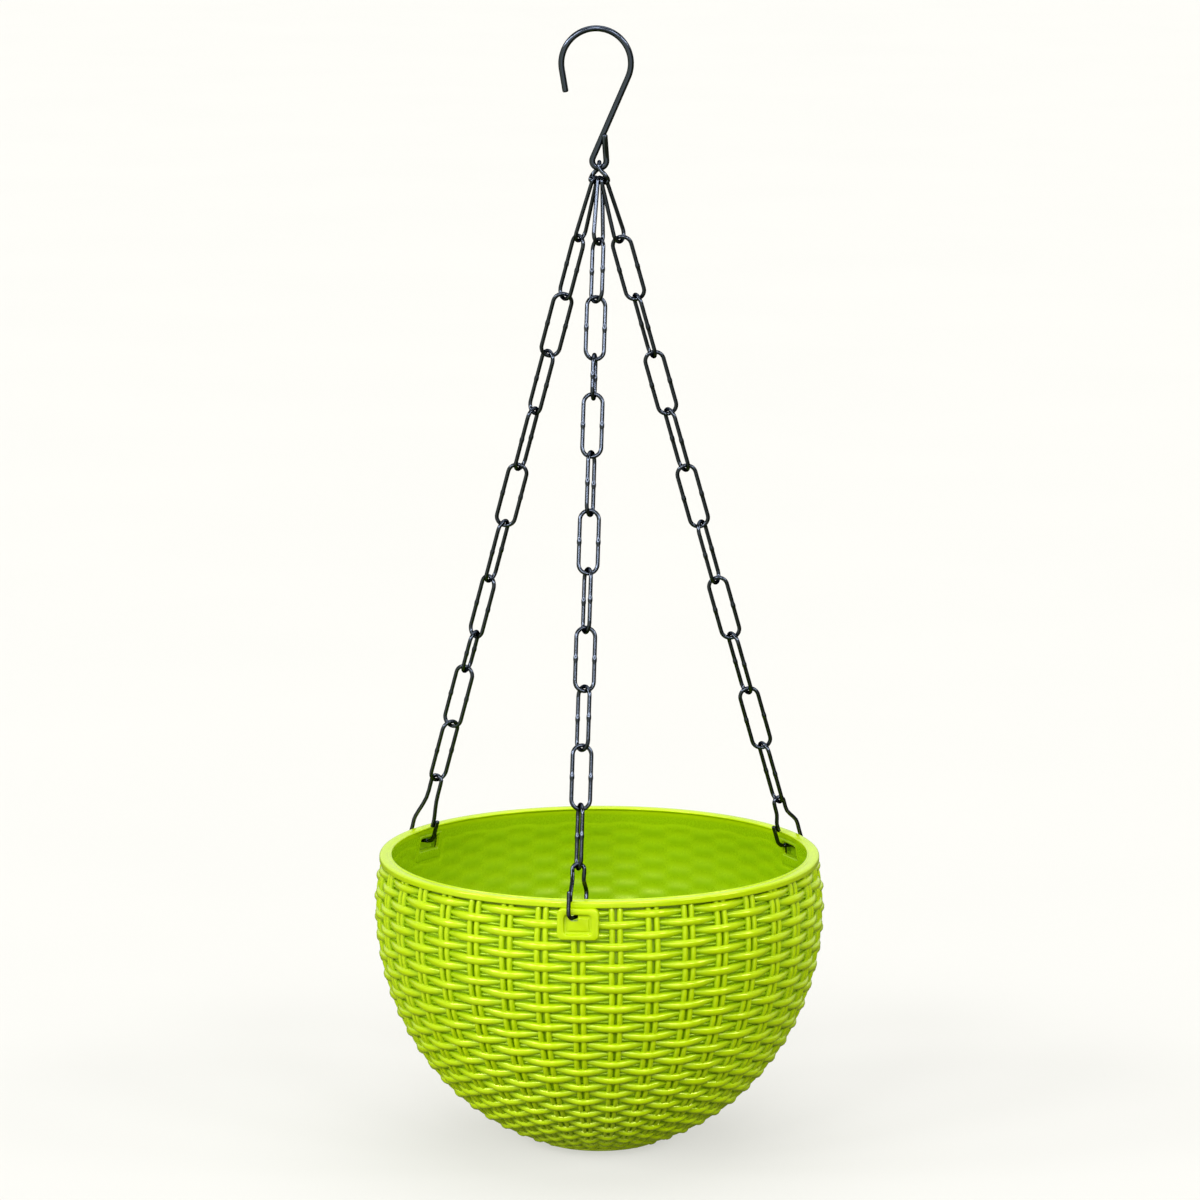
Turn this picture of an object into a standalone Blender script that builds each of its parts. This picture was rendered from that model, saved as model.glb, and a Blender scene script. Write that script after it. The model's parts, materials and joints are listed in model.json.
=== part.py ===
"""Hanging basket planter: a moulded bowl in three wire chains under a wire hook.

Metres, +Z up. The origin is where the hook bears on whatever it hangs from,
at the inside top of its bend. The part hangs below the origin, seen along +Y.
"""
import bpy
import bmesh
from math import asin, atan2, cos, degrees, hypot, pi, radians, sin, sqrt, tan
from mathutils import Matrix, Vector

# Bowl
RIM_DIAMETER = 0.250
RIM_WIDTH = 0.0070
RIM_HEIGHT = 0.0038
RIM_ROUNDING = 0.0012
BOWL_HEIGHT = 0.166
BELLY_BULGE = 0.0032
BELLY_DEPTH = 0.030
NECK_INSET = 0.0032
FOOT_DIAMETER = 0.072
WALL = 0.0042
NECK_WALL = 0.0052
FLOOR = 0.0032
FLOOR_RING_SHARE = 0.6
INSIDE_DEPTH_SHARES = (0.985, 0.94, 0.86, 0.74, 0.6, 0.44, 0.28, 0.13, 0)
DRAIN_HOLE_DIAMETER = 0.006
DRAIN_CIRCLE_DIAMETER = 0.044
DRAIN_HOLE_COUNT = 4
DRAIN_AZIMUTH_DEG = 45

# Woven relief on the outside of the bowl
STAKE_PAIRS = 38
ROW_PITCH = 0.0061
ROWS_WITH_CREVICES = 28
RELIEF = 0.0030
STAKE_SINK_SHARE = 0.42
MIDWAY_SINK_SHARE = 0.5
FADE_SHARE = 0.4

# Lugs, one for each chain, just under the rim
LUG_AZIMUTHS_DEG = {"left": 144.75, "front": -95.25, "right": 24.75}
LUG_WIDTH = 0.023
LUG_HEIGHT = 0.0172
LUG_PROUD = 0.0008
LUG_ROOT = 0.0036
LUG_ROUNDING = 0.0024
RECESS_DEPTH = 0.0016
RECESS_WIDTH = 0.0150
RECESS_HEIGHT = 0.0108
BORDER_HEIGHT = 0.0033
PANEL = 0.0014
POCKET_WIDTH = 0.0168
POCKET_HEIGHT = 0.0074
SLOT_HEIGHT = 0.0034
SLOT_WIDTH = 0.0042

# Chains
CHAIN_WIRE = 0.0023
LINK_WIDTH = 0.0128
SHORT_LINK_LENGTH = 0.0269
TOP_LINK_LENGTH = 0.0399
TAPER_DEG = 8
CHAIN_ORDER = ("left", "front", "right")
LINK_PATTERNS = {"left": "LLLLLLLSLL", "front": "LLSLLLLLLLL", "right": "LLLLLLLLLL"}
LINK_ROLLS_DEG = {
    "left": (-56, 8, -56, 60, -4, 60, -50, 66, -28, 36),
    "front": (-55, 15, 83, 0, 71, 0, -70, 10, -54, 12, -76),
    "right": (-4, -69, 4, -60, 4, 68, 4, -61, 4, -61),
}

# End hooks of the chains, closed round the rim
END_HOOK_LENGTHS = {"left": 0.0438, "front": 0.0310, "right": 0.0325}
END_HOOK_TURNS_DEG = {"left": 4, "front": -28, "right": 4}
END_HOOK_TWISTS_DEG = {"left": 0, "front": -55, "right": 0}
END_HOOK_LAP_TURNS_DEG = {"left": 0, "front": -14, "right": 0}
END_HOOK_CORNERS = {"left": 0.0031, "front": 0.0041, "right": 0.0031}
END_HOOK_SHIFTS = {"left": 0.0042, "front": -0.0008, "right": 0.0042}
END_HOOK_LAP = 0.0050
END_HOOK_TIP_HEIGHT = 0.0140
END_HOOK_PLAY = 0.0007
END_HOOK_CROWN_SHARE = 0.62
LEG_WIDTH_SHARES = (1, 0.97, 0.06)
LEG_HEIGHT_SHARES = (0.5, 0, 0.5)

# Joining ring
RING_WIRE = 0.0025
RING_HEIGHT = 0.0137
RING_BAR_AZIMUTH_DEG = -30
RING_TWIST_DEG = 60
RING_CORNER = 0.0016
RING_SHOULDER_SHARE = 0.52
CROWN_SPACINGS = (0.0038, 0.0028)

# Top hook
HOOK_WIRE = 0.0034
HOOK_WIDTH = 0.0420
HOOK_SHIFT = 0.00175
HOOK_TIP_LENGTH = 0.0130
HOOK_TIP_LEAN_DEG = 9.5
EYE_DROP = 0.0774
EYE_WIDTH = 0.0113
EYE_TAIL_LENGTH = 0.0148
EYE_TAIL_LEAN_DEG = 4

# The whole
RIM_DROP = 0.465
GAP = 0.0003

# Mesh fineness
TURNS = 2 * STAKE_PAIRS
PROFILE_SAMPLES = 400
TAIL_STEPS = 5
HOLE_SIDES = 16
ROUNDING_STEPS = 2
SHARP_DEG = 35
ARC_STEP_DEG = 22.5
LINK_STEP_DEG = 30
HOOK_STEP_DEG = 15
CUT_OVERRUN = 0.004
CUT_STEP = 0.00025
MERGE = 0.00002

HOOK_COLOUR = (0.012, 0.013, 0.016, 1.0)
CHAIN_COLOUR = (0.010, 0.011, 0.014, 1.0)
BOWL_COLOUR = (0.342, 0.539, 0.004, 1.0)

# Worked out from the sizes above
RIM_RADIUS = RIM_DIAMETER / 2
RIM_INNER = RIM_RADIUS - RIM_WIDTH
BELLY_RADIUS = RIM_RADIUS + BELLY_BULGE
FOOT_RADIUS = FOOT_DIAMETER / 2
BODY_DEPTH = (BOWL_HEIGHT - BELLY_DEPTH) / sqrt(1 - (FOOT_RADIUS / BELLY_RADIUS) ** 2)
LUG_FACE = BELLY_RADIUS + LUG_PROUD
PANEL_FACE = LUG_FACE - RECESS_DEPTH
WINDOW_TOP = LUG_ROOT + BORDER_HEIGHT
SEAT_DEPTH = WINDOW_TOP + GAP + CHAIN_WIRE / 2
SEAT_RADIUS = (RIM_INNER + LUG_FACE) / 2 + END_HOOK_PLAY
LINK_OVERLAP = CHAIN_WIRE + GAP
LINK_BEND = (LINK_WIDTH - CHAIN_WIRE) / 2
CROWN_BEND = RING_WIRE / 2 + GAP + CHAIN_WIRE / 2
RING_BEND = HOOK_WIRE / 2 + GAP + RING_WIRE / 2
HOOK_BEND = (HOOK_WIDTH - HOOK_WIRE) / 2
EYE_BEND = (EYE_WIDTH - HOOK_WIRE) / 2
EYE_Z = -EYE_DROP + HOOK_WIRE / 2
RING_SPAN = RING_HEIGHT - RING_WIRE
RING_TOP_Z = EYE_Z + RING_BEND
RING_BAR_Z = RING_TOP_Z - RING_SPAN


def clear_scene():
    for obj in list(bpy.data.objects):
        bpy.data.objects.remove(obj, do_unlink=True)


def new_collection(name):
    collection = bpy.data.collections.new(name)
    bpy.context.scene.collection.children.link(collection)
    return collection


def make_material(name, colour, roughness, metallic):
    material = bpy.data.materials.new(name)
    material.use_nodes = True
    shader = material.node_tree.nodes["Principled BSDF"]
    shader.inputs["Base Color"].default_value = colour
    shader.inputs["Roughness"].default_value = roughness
    shader.inputs["Metallic"].default_value = metallic
    return material


def new_empty(name, matrix, parent, collection):
    empty = bpy.data.objects.new(name, None)
    empty.empty_display_size = CHAIN_WIRE
    collection.objects.link(empty)
    empty.parent = parent
    empty.matrix_basis = matrix
    return empty


def new_wire(name, points, diameter, closed, resolution, material, collection):
    """A round wire along the points, as a curve with capped ends or a closed loop."""
    curve = bpy.data.curves.new(name, "CURVE")
    curve.dimensions = "3D"
    curve.bevel_depth = diameter / 2
    curve.bevel_resolution = resolution
    curve.use_fill_caps = True
    spline = curve.splines.new("POLY")
    spline.points.add(len(points) - 1)
    for target, point in zip(spline.points, points):
        target.co = (point[0], point[1], point[2], 1)
    spline.use_cyclic_u = closed
    spline.use_smooth = True
    curve.materials.append(material)
    obj = bpy.data.objects.new(name, curve)
    collection.objects.link(obj)
    return obj


def arc(centre, radius, start_deg, end_deg, step_deg):
    """Points of a plane arc, both ends included."""
    count = max(2, round(abs(end_deg - start_deg) / step_deg))
    angles = [radians(start_deg + (end_deg - start_deg) * i / count) for i in range(count + 1)]
    return [(centre[0] + radius * cos(a), centre[1] + radius * sin(a)) for a in angles]


def smooth_step(value):
    value = min(1.0, max(0.0, value))
    return value * value * (3 - 2 * value)


def blend(a, b, share):
    return a + (b - a) * share


def direction(azimuth_deg):
    return Vector((cos(radians(azimuth_deg)), sin(radians(azimuth_deg)), 0))


# Bowl

def body_radius(depth):
    """Radius of the outermost weave at a depth below the rim's top."""
    if depth < BELLY_DEPTH:
        rise = (BELLY_DEPTH - depth) / (BELLY_DEPTH - RIM_HEIGHT)
        return BELLY_RADIUS - NECK_INSET * rise ** 2
    below = (depth - BELLY_DEPTH) / BODY_DEPTH
    return BELLY_RADIUS * sqrt(max(0.0, 1 - below ** 2))


def body_depths():
    """Depths of the weave's half rows, evenly spaced along the bowl's side; odd ones are strands."""
    quarter_turns = [pi / 2 * i / PROFILE_SAMPLES for i in range(PROFILE_SAMPLES + 1)]
    depths = [blend(RIM_HEIGHT, BOWL_HEIGHT, sin(angle)) for angle in quarter_turns]
    lengths = [0.0]
    for a, b in zip(depths, depths[1:]):
        lengths.append(lengths[-1] + hypot(b - a, body_radius(b) - body_radius(a)))
    half_rows = 2 * round(lengths[-1] / ROW_PITCH)
    result = []
    index = 0
    for half_row in range(half_rows + 1):
        target = lengths[-1] * half_row / half_rows
        while index < PROFILE_SAMPLES - 1 and lengths[index + 1] < target:
            index += 1
        span = lengths[index + 1] - lengths[index]
        share = (target - lengths[index]) / span
        result.append(blend(depths[index], depths[index + 1], min(1.0, share)))
    return result


def inner_radius(depth):
    thickening = 1 - smooth_step((depth - RIM_HEIGHT) / (BELLY_DEPTH - RIM_HEIGHT))
    return body_radius(depth) - WALL - (NECK_WALL - WALL + NECK_INSET / 2) * thickening


def bowl_profile():
    """From the floor's middle up the inside, over the rim and down the outside."""
    floor_depth = BOWL_HEIGHT - FLOOR
    inside_depths = [blend(RIM_HEIGHT, floor_depth, share) for share in INSIDE_DEPTH_SHARES]
    points = [(0, -floor_depth), (inner_radius(floor_depth) * FLOOR_RING_SHARE, -floor_depth)]
    points += [(inner_radius(depth), -depth) for depth in inside_depths]
    points += [(RIM_INNER, -RIM_HEIGHT / 2), (RIM_INNER, -RIM_ROUNDING), (RIM_INNER + RIM_ROUNDING, 0)]
    points += [(RIM_RADIUS - RIM_ROUNDING, 0), (RIM_RADIUS, -RIM_ROUNDING)]
    points.append((RIM_RADIUS, -RIM_HEIGHT + RIM_ROUNDING))
    depths = body_depths()
    for half_row, depth in enumerate(depths):
        if half_row % 2 or half_row <= 2 * ROWS_WITH_CREVICES or half_row == len(depths) - 1:
            points.append((body_radius(depth), -depth))
    points.append((0, -BOWL_HEIGHT))
    return points


def relief_share(half_row, across):
    """How deep the weave lies: 0 on a strand over a pair, 1 in a crevice midway between pairs."""
    if half_row % 2 == 0:
        return blend(1, STAKE_SINK_SHARE, abs(across))
    over = across * cos(pi * (half_row - 1) / 2)
    return MIDWAY_SINK_SHARE * (1 - abs(over)) + STAKE_SINK_SHARE * max(0.0, -over)


def weave_bowl(mesh, phase):
    """Sinks the outside into strands that cross over and behind the pairs of stakes."""
    depths = body_depths()
    for vertex in mesh.vertices:
        x, y, z = vertex.co
        radius = hypot(x, y)
        half_row = min(range(1, len(depths) - 1), key=lambda i: abs(depths[i] + z))
        on_row = abs(depths[half_row] + z) < MERGE
        on_outside = radius > body_radius(depths[half_row]) - WALL / 2
        if on_row and on_outside:
            across = cos(STAKE_PAIRS / 2 * (atan2(y, x) - phase))
            fade = smooth_step((radius - FOOT_RADIUS) / (BELLY_RADIUS - FOOT_RADIUS) / FADE_SHARE)
            scale = 1 - RELIEF * relief_share(half_row, across) * fade / radius
            vertex.co = (x * scale, y * scale, z)


def turned_mesh(name, points, turns):
    """A profile in the XZ plane turned round Z, as a finished mesh."""
    mesh = bpy.data.meshes.new(name + "_profile")
    edges = [(i, i + 1) for i in range(len(points) - 1)]
    mesh.from_pydata([(r, 0, z) for r, z in points], edges, [])
    obj = bpy.data.objects.new(name + "_profile", mesh)
    bpy.context.scene.collection.objects.link(obj)
    screw = obj.modifiers.new("turn", "SCREW")
    screw.steps = turns
    screw.render_steps = turns
    screw.use_merge_vertices = True
    screw.merge_threshold = MERGE
    screw.use_normal_calculate = False
    bpy.context.view_layer.update()
    evaluated = obj.evaluated_get(bpy.context.evaluated_depsgraph_get())
    result = bpy.data.meshes.new_from_object(evaluated)
    result.name = name
    bpy.data.objects.remove(obj, do_unlink=True)
    return result


def new_tool(name, shape, matrix, tools):
    """A hidden solid that is joined to the bowl or cut out of it."""
    mesh = bpy.data.meshes.new(name)
    shape.to_mesh(mesh)
    shape.free()
    tool = bpy.data.objects.new(name, mesh)
    tools.objects.link(tool)
    tool.matrix_world = matrix
    tool.hide_render = True
    tool.display_type = "WIRE"
    return tool


def box_tool(name, low, high, matrix, tools, rounding=0.0):
    """A box in a lug's frame: X out from the bowl's axis, Y along the rim, Z up."""
    shape = bmesh.new()
    bmesh.ops.create_cube(shape, size=1)
    size = [b - a for a, b in zip(low, high)]
    middle = [(a + b) / 2 for a, b in zip(low, high)]
    placed = Matrix.Translation(middle) @ Matrix.Diagonal((*size, 1))
    bmesh.ops.transform(shape, matrix=placed, verts=shape.verts)
    if rounding:
        edges = [e for e in shape.edges if abs(e.verts[0].co.x - e.verts[1].co.x) > MERGE]
        bmesh.ops.bevel(shape, geom=edges, offset=rounding, segments=ROUNDING_STEPS, affect="EDGES")
    return new_tool(name, shape, matrix, tools)


def hole_tool(name, diameter, low, high, place, tools):
    shape = bmesh.new()
    radius = diameter / 2
    bmesh.ops.create_cone(shape, cap_ends=True, segments=HOLE_SIDES, radius1=radius, radius2=radius,
                          depth=high - low)
    matrix = Matrix.Translation((place[0], place[1], (low + high) / 2))
    return new_tool(name, shape, matrix, tools)


def combine(obj, tool, operation):
    modifier = obj.modifiers.new(tool.name, "BOOLEAN")
    modifier.operation = operation
    modifier.solver = "EXACT"
    modifier.object = tool


def lug_matrix(azimuth_deg):
    return Matrix.Translation((0, 0, -RIM_DROP)) @ Matrix.Rotation(radians(azimuth_deg), 4, "Z")


def slot_middle(chain_name):
    """Where a chain's hook goes through its lug, along the rim from the lug's middle."""
    outward = PANEL_FACE - PANEL / 2 - SEAT_RADIUS
    return END_HOOK_SHIFTS[chain_name] + outward * tan(radians(END_HOOK_TURNS_DEG[chain_name]))


def add_lug(bowl, chain_name, tools):
    """A rounded pad with a recessed panel, a slot above the panel and a pocket behind it."""
    name = chain_name + "_lug"
    matrix = lug_matrix(LUG_AZIMUTHS_DEG[chain_name])
    half = LUG_WIDTH / 2
    inside = body_radius(LUG_ROOT + LUG_HEIGHT) - WALL + GAP
    low = (inside, -half, -LUG_ROOT - LUG_HEIGHT)
    high = (LUG_FACE, half, -LUG_ROOT)
    combine(bowl, box_tool(name + "_pad", low, high, matrix, tools, LUG_ROUNDING), "UNION")
    half = RECESS_WIDTH / 2
    low = (PANEL_FACE, -half, -WINDOW_TOP - RECESS_HEIGHT)
    high = (LUG_FACE + CUT_OVERRUN, half, -WINDOW_TOP + 2 * CUT_STEP)
    combine(bowl, box_tool(name + "_recess", low, high, matrix, tools, LUG_ROUNDING / 2), "DIFFERENCE")
    half = POCKET_WIDTH / 2
    low = (RIM_INNER - CUT_OVERRUN, -half, -WINDOW_TOP - POCKET_HEIGHT)
    high = (PANEL_FACE - PANEL, half, -WINDOW_TOP + CUT_STEP)
    combine(bowl, box_tool(name + "_pocket", low, high, matrix, tools), "DIFFERENCE")
    middle = slot_middle(chain_name)
    low = (PANEL_FACE - PANEL - CUT_OVERRUN / 4, middle - SLOT_WIDTH / 2, -WINDOW_TOP - SLOT_HEIGHT)
    high = (PANEL_FACE + RECESS_DEPTH / 2, middle + SLOT_WIDTH / 2, -WINDOW_TOP)
    combine(bowl, box_tool(name + "_slot", low, high, matrix, tools), "DIFFERENCE")


def make_bowl(parent, material, parts, tools):
    mesh = turned_mesh("bowl", bowl_profile(), TURNS)
    weave_bowl(mesh, radians(LUG_AZIMUTHS_DEG["front"]))
    mesh.materials.append(material)
    mesh.shade_smooth()
    mesh.set_sharp_from_angle(angle=radians(SHARP_DEG))
    bowl = bpy.data.objects.new("bowl", mesh)
    parts.objects.link(bowl)
    bowl.parent = parent
    bowl.location = (0, 0, -RIM_DROP - RING_BAR_Z)
    for name in CHAIN_ORDER:
        add_lug(bowl, name, tools)
    low = -RIM_DROP - BOWL_HEIGHT - CUT_OVERRUN
    high = low + FLOOR + 2 * CUT_OVERRUN
    for index in range(DRAIN_HOLE_COUNT):
        azimuth_deg = DRAIN_AZIMUTH_DEG + 360 * index / DRAIN_HOLE_COUNT
        place = direction(azimuth_deg) * DRAIN_CIRCLE_DIAMETER / 2
        hole = hole_tool(f"drain_{index + 1}", DRAIN_HOLE_DIAMETER, low, high, place, tools)
        combine(bowl, hole, "DIFFERENCE")


# Top hook

def hook_path():
    """Tip, bend, shank tangent to bend and eye, eye, and tail lying beside the shank."""
    bend = (-HOOK_SHIFT, HOOK_WIRE / 2 - HOOK_BEND)
    eye = (0, EYE_Z + EYE_BEND)
    across = (eye[0] - bend[0], eye[1] - bend[1])
    turn = degrees(asin((HOOK_BEND + EYE_BEND) / hypot(*across)) - atan2(across[0], -across[1]))
    points = arc(bend, HOOK_BEND, 180 + HOOK_TIP_LEAN_DEG, 180, HOOK_TIP_LEAN_DEG)
    lean = radians(HOOK_TIP_LEAN_DEG)
    tip = (points[0][0] + HOOK_TIP_LENGTH * sin(lean), points[0][1] - HOOK_TIP_LENGTH * cos(lean))
    points = [tip] + points[:-1] + arc(bend, HOOK_BEND, 180, -turn, HOOK_STEP_DEG)
    points += arc(eye, EYE_BEND, 180 - turn, 360 + EYE_TAIL_LEAN_DEG, ARC_STEP_DEG)
    path = [(x, 0, z) for x, z in points]
    lean = radians(EYE_TAIL_LEAN_DEG)
    start = points[-1]
    for step in range(1, TAIL_STEPS + 1):
        share = step / TAIL_STEPS
        run = EYE_TAIL_LENGTH * share
        aside = (HOOK_WIRE + GAP) * smooth_step(share)
        path.append((start[0] - run * sin(lean), -aside, start[1] + run * cos(lean)))
    return path


def make_top_hook(material, parts):
    new_wire("top_hook", hook_path(), HOOK_WIRE, False, 2, material, parts)


# Joining ring

def crown_places():
    """Where the three top links sit along the ring's bar, from the bar's middle."""
    places = [0, CROWN_SPACINGS[0], CROWN_SPACINGS[0] + CROWN_SPACINGS[1]]
    return [place - places[-1] / 2 for place in places]


def ring_path():
    """A pear: its crown crosses the hook's eye, and its bar is turned to carry the chains."""
    half = crown_places()[-1] + CHAIN_WIRE / 2 + GAP + RING_WIRE / 2 - RING_CORNER / 4
    crown = RING_SPAN - RING_BEND
    side = arc((half - RING_CORNER, RING_CORNER), RING_CORNER, -90, 0, LINK_STEP_DEG)
    side.append((half, crown * RING_SHOULDER_SHARE))
    side += arc((0, crown), RING_BEND, 0, 90, ARC_STEP_DEG)
    outline = [(0, 0)] + side + [(-s, t) for s, t in reversed(side[:-1])]
    path = []
    for s, t in outline:
        twist = RING_TWIST_DEG * smooth_step((t - RING_CORNER) / (crown - RING_CORNER))
        along = direction(RING_BAR_AZIMUTH_DEG - twist)
        path.append((s * along.x, s * along.y, t - crown))
    return path


def make_ring(material, parts):
    ring = new_wire("joining_ring", ring_path(), RING_WIRE, True, 2, material, parts)
    ring.location = (0, 0, EYE_Z)


# Chains

def chain_frame(name):
    """Start, end, length and frame of a chain: local Z runs up it, local X is nearest +X."""
    bar = direction(RING_BAR_AZIMUTH_DEG)
    start = bar * crown_places()[CHAIN_ORDER.index(name)] + Vector((0, 0, RING_BAR_Z))
    turn = degrees(END_HOOK_SHIFTS[name] / SEAT_RADIUS)
    end = direction(LUG_AZIMUTHS_DEG[name] + turn) * SEAT_RADIUS + Vector((0, 0, -RIM_DROP - SEAT_DEPTH))
    up = (start - end).normalized()
    across = (Vector((1, 0, 0)) - up * up.x).normalized()
    away = up.cross(across)
    matrix = Matrix((across, away, up)).transposed().to_4x4()
    matrix.translation = start
    return matrix, (start - end).length


def link_lengths(name, chain_length):
    """Lengths of a chain's links, the top one first; its long links share what is left evenly."""
    pattern = LINK_PATTERNS[name]
    fixed = TOP_LINK_LENGTH + END_HOOK_LENGTHS[name] - 2 * CHAIN_WIRE - CROWN_BEND
    fixed += pattern.count("S") * (SHORT_LINK_LENGTH - CHAIN_WIRE)
    span = chain_length - fixed + (len(pattern) + 1) * LINK_OVERLAP
    long_length = span / pattern.count("L") + CHAIN_WIRE
    return [SHORT_LINK_LENGTH if kind == "S" else long_length for kind in pattern]


def link_outline(length):
    """A long oval: two half circles and straight sides, about its own middle."""
    reach = (length - CHAIN_WIRE) / 2 - LINK_BEND
    top = arc((0, reach), LINK_BEND, 0, 180, LINK_STEP_DEG)
    bottom = arc((0, -reach), LINK_BEND, 180, 360, LINK_STEP_DEG)
    return [(s, 0, t) for s, t in top + bottom]


def top_link_outline():
    """A pear: a narrow crown round the ring's bar and a full-width lower end, about the bar."""
    bottom = CROWN_BEND - (TOP_LINK_LENGTH - CHAIN_WIRE)
    crown = arc((0, 0), CROWN_BEND, -TAPER_DEG, 180 + TAPER_DEG, ARC_STEP_DEG)
    lower = arc((0, bottom + LINK_BEND), LINK_BEND, 180 - TAPER_DEG, 360 + TAPER_DEG, ARC_STEP_DEG)
    return [(s, 0, t) for s, t in crown + lower]


def end_hook_half_width(name):
    """Enough for the outer leg to pass in front of the lug at the hook's turn."""
    reach = LUG_FACE - SEAT_RADIUS + GAP + CHAIN_WIRE / 2 + 2 * END_HOOK_PLAY
    return reach / cos(radians(END_HOOK_TURNS_DEG[name]))


def end_hook_outline(name, slope):
    """A bell-shaped loop round the rim, its two ends lapped on one leg; X is out from the bowl."""
    half = end_hook_half_width(name)
    crown = LINK_BEND * END_HOOK_CROWN_SHARE
    shoulder = END_HOOK_LENGTHS[name] - CHAIN_WIRE - crown
    tip_height = END_HOOK_TIP_HEIGHT
    rounding = END_HOOK_CORNERS[name]
    corner = arc((half - rounding, rounding), rounding, -90, 0, LINK_STEP_DEG)
    low = (half * LEG_WIDTH_SHARES[0], blend(rounding, tip_height, LEG_HEIGHT_SHARES[0]))
    middle = (half * LEG_WIDTH_SHARES[1], blend(tip_height, shoulder, LEG_HEIGHT_SHARES[1]))
    high = (blend(crown, half, LEG_WIDTH_SHARES[2]), blend(tip_height, shoulder, LEG_HEIGHT_SHARES[2]))
    top = arc((0, shoulder), crown, 0, 180, LINK_STEP_DEG)
    path = [(half, tip_height), low] + corner[::-1]
    path += [(-s, t) for s, t in corner + [low, middle, high] + top]
    path.append(high)
    lap_turn = radians(END_HOOK_LAP_TURNS_DEG[name])
    lap_end = half - LINK_OVERLAP * cos(lap_turn)
    lap_side = LINK_OVERLAP * sin(lap_turn)
    flip = 1 if name == "front" else -1
    placed = []
    for s, t in path:
        drop = slope * flip * s * (1 - smooth_step(t / shoulder))
        twist = radians(END_HOOK_TWISTS_DEG[name]) * smooth_step((t - tip_height) / (shoulder - tip_height))
        placed.append((flip * s * cos(twist), flip * s * sin(twist), t + drop))
    for t in (tip_height, tip_height - END_HOOK_LAP):
        placed.append((flip * lap_end, lap_side, t + slope * flip * lap_end))
    return placed


def make_top_link(name, matrix, parent, material, parts):
    bar = direction(RING_BAR_AZIMUTH_DEG)
    up = matrix.to_3x3().col[2]
    lateral = up.cross(bar).normalized()
    roll = atan2(lateral.dot(matrix.to_3x3().col[1]), lateral.dot(matrix.to_3x3().col[0]))
    link = new_wire(name + "_chain_top_link", top_link_outline(), CHAIN_WIRE, True, 2, material, parts)
    link.parent = parent
    link.rotation_euler = (0, 0, roll)


def make_chain(name, parent, material, parts):
    matrix, chain_length = chain_frame(name)
    below_bar = Matrix.Translation((0, 0, -RING_BAR_Z))
    chain = new_empty(name + "_chain_line", below_bar @ matrix, parent, parts)
    make_top_link(name, matrix, chain, material, parts)
    bottom = TOP_LINK_LENGTH - CHAIN_WIRE - CROWN_BEND
    lengths = link_lengths(name, chain_length)
    for number, (length, roll) in enumerate(zip(lengths, LINK_ROLLS_DEG[name]), 1):
        top = bottom - LINK_OVERLAP
        bottom = top + length - CHAIN_WIRE
        link_name = f"{name}_chain_link_{number:02d}"
        link = new_wire(link_name, link_outline(length), CHAIN_WIRE, True, 1, material, parts)
        link.parent = chain
        link.location = (0, 0, -(top + bottom) / 2)
        link.rotation_euler = (0, 0, radians(roll))
    make_end_hook(name, matrix, chain_length, chain, material, parts)


def make_end_hook(name, matrix, chain_length, chain, material, parts):
    out = direction(LUG_AZIMUTHS_DEG[name])
    axes = matrix.to_3x3()
    meridian = atan2(out.dot(axes.col[1]), out.dot(axes.col[0]))
    roll = meridian + radians(END_HOOK_TURNS_DEG[name])
    lateral = axes.col[0] * cos(roll) + axes.col[1] * sin(roll)
    slope = -lateral.z / axes.col[2].z
    outline = end_hook_outline(name, slope)
    hook = new_wire(name + "_chain_hook", outline, CHAIN_WIRE, False, 2, material, parts)
    hook.parent = chain
    hook.location = (0, 0, -chain_length)
    hook.rotation_euler = (0, 0, roll)


def main():
    clear_scene()
    parts = new_collection("hanging_basket_planter")
    tools = new_collection("cutters")
    hook_steel = make_material("black_hook_wire", HOOK_COLOUR, 0.35, 0.6)
    chain_steel = make_material("black_chain_wire", CHAIN_COLOUR, 0.38, 0.6)
    plastic = make_material("lime_plastic", BOWL_COLOUR, 0.32, 0.0)
    make_top_hook(hook_steel, parts)
    make_ring(hook_steel, parts)
    basket = new_empty("basket_swing_axis", Matrix.Translation((0, 0, RING_BAR_Z)), None, parts)
    make_bowl(basket, plastic, parts, tools)
    for name in CHAIN_ORDER:
        make_chain(name, basket, chain_steel, parts)


main()
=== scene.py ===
"""Looks of the hanging basket planter: a moulded wicker bowl, three wire chains, a ring and a hook.

Metres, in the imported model's frame: the origin is the hanging point, +Z is up, the front is -Y.
"""
import json
import random
from bisect import bisect
from math import asin, atan2, ceil, cos, degrees, hypot, pi, radians, sin, sqrt, tan

import bmesh
import bpy
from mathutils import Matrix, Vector


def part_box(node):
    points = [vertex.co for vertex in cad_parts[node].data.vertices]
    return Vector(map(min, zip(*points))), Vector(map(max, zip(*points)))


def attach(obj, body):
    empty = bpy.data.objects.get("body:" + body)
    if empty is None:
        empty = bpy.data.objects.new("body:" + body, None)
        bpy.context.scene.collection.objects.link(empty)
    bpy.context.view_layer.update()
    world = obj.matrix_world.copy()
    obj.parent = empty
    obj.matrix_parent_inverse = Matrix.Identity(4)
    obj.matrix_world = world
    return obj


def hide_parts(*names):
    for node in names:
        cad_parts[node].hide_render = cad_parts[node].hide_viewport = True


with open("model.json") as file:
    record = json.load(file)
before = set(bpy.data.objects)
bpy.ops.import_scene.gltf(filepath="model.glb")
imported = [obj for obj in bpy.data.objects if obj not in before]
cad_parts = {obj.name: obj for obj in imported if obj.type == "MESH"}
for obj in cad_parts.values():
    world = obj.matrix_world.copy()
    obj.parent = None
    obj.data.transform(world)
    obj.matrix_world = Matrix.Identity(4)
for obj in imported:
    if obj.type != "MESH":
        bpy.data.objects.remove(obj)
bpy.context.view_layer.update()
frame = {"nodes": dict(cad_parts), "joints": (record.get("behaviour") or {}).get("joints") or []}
NODES = frame["nodes"]
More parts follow.
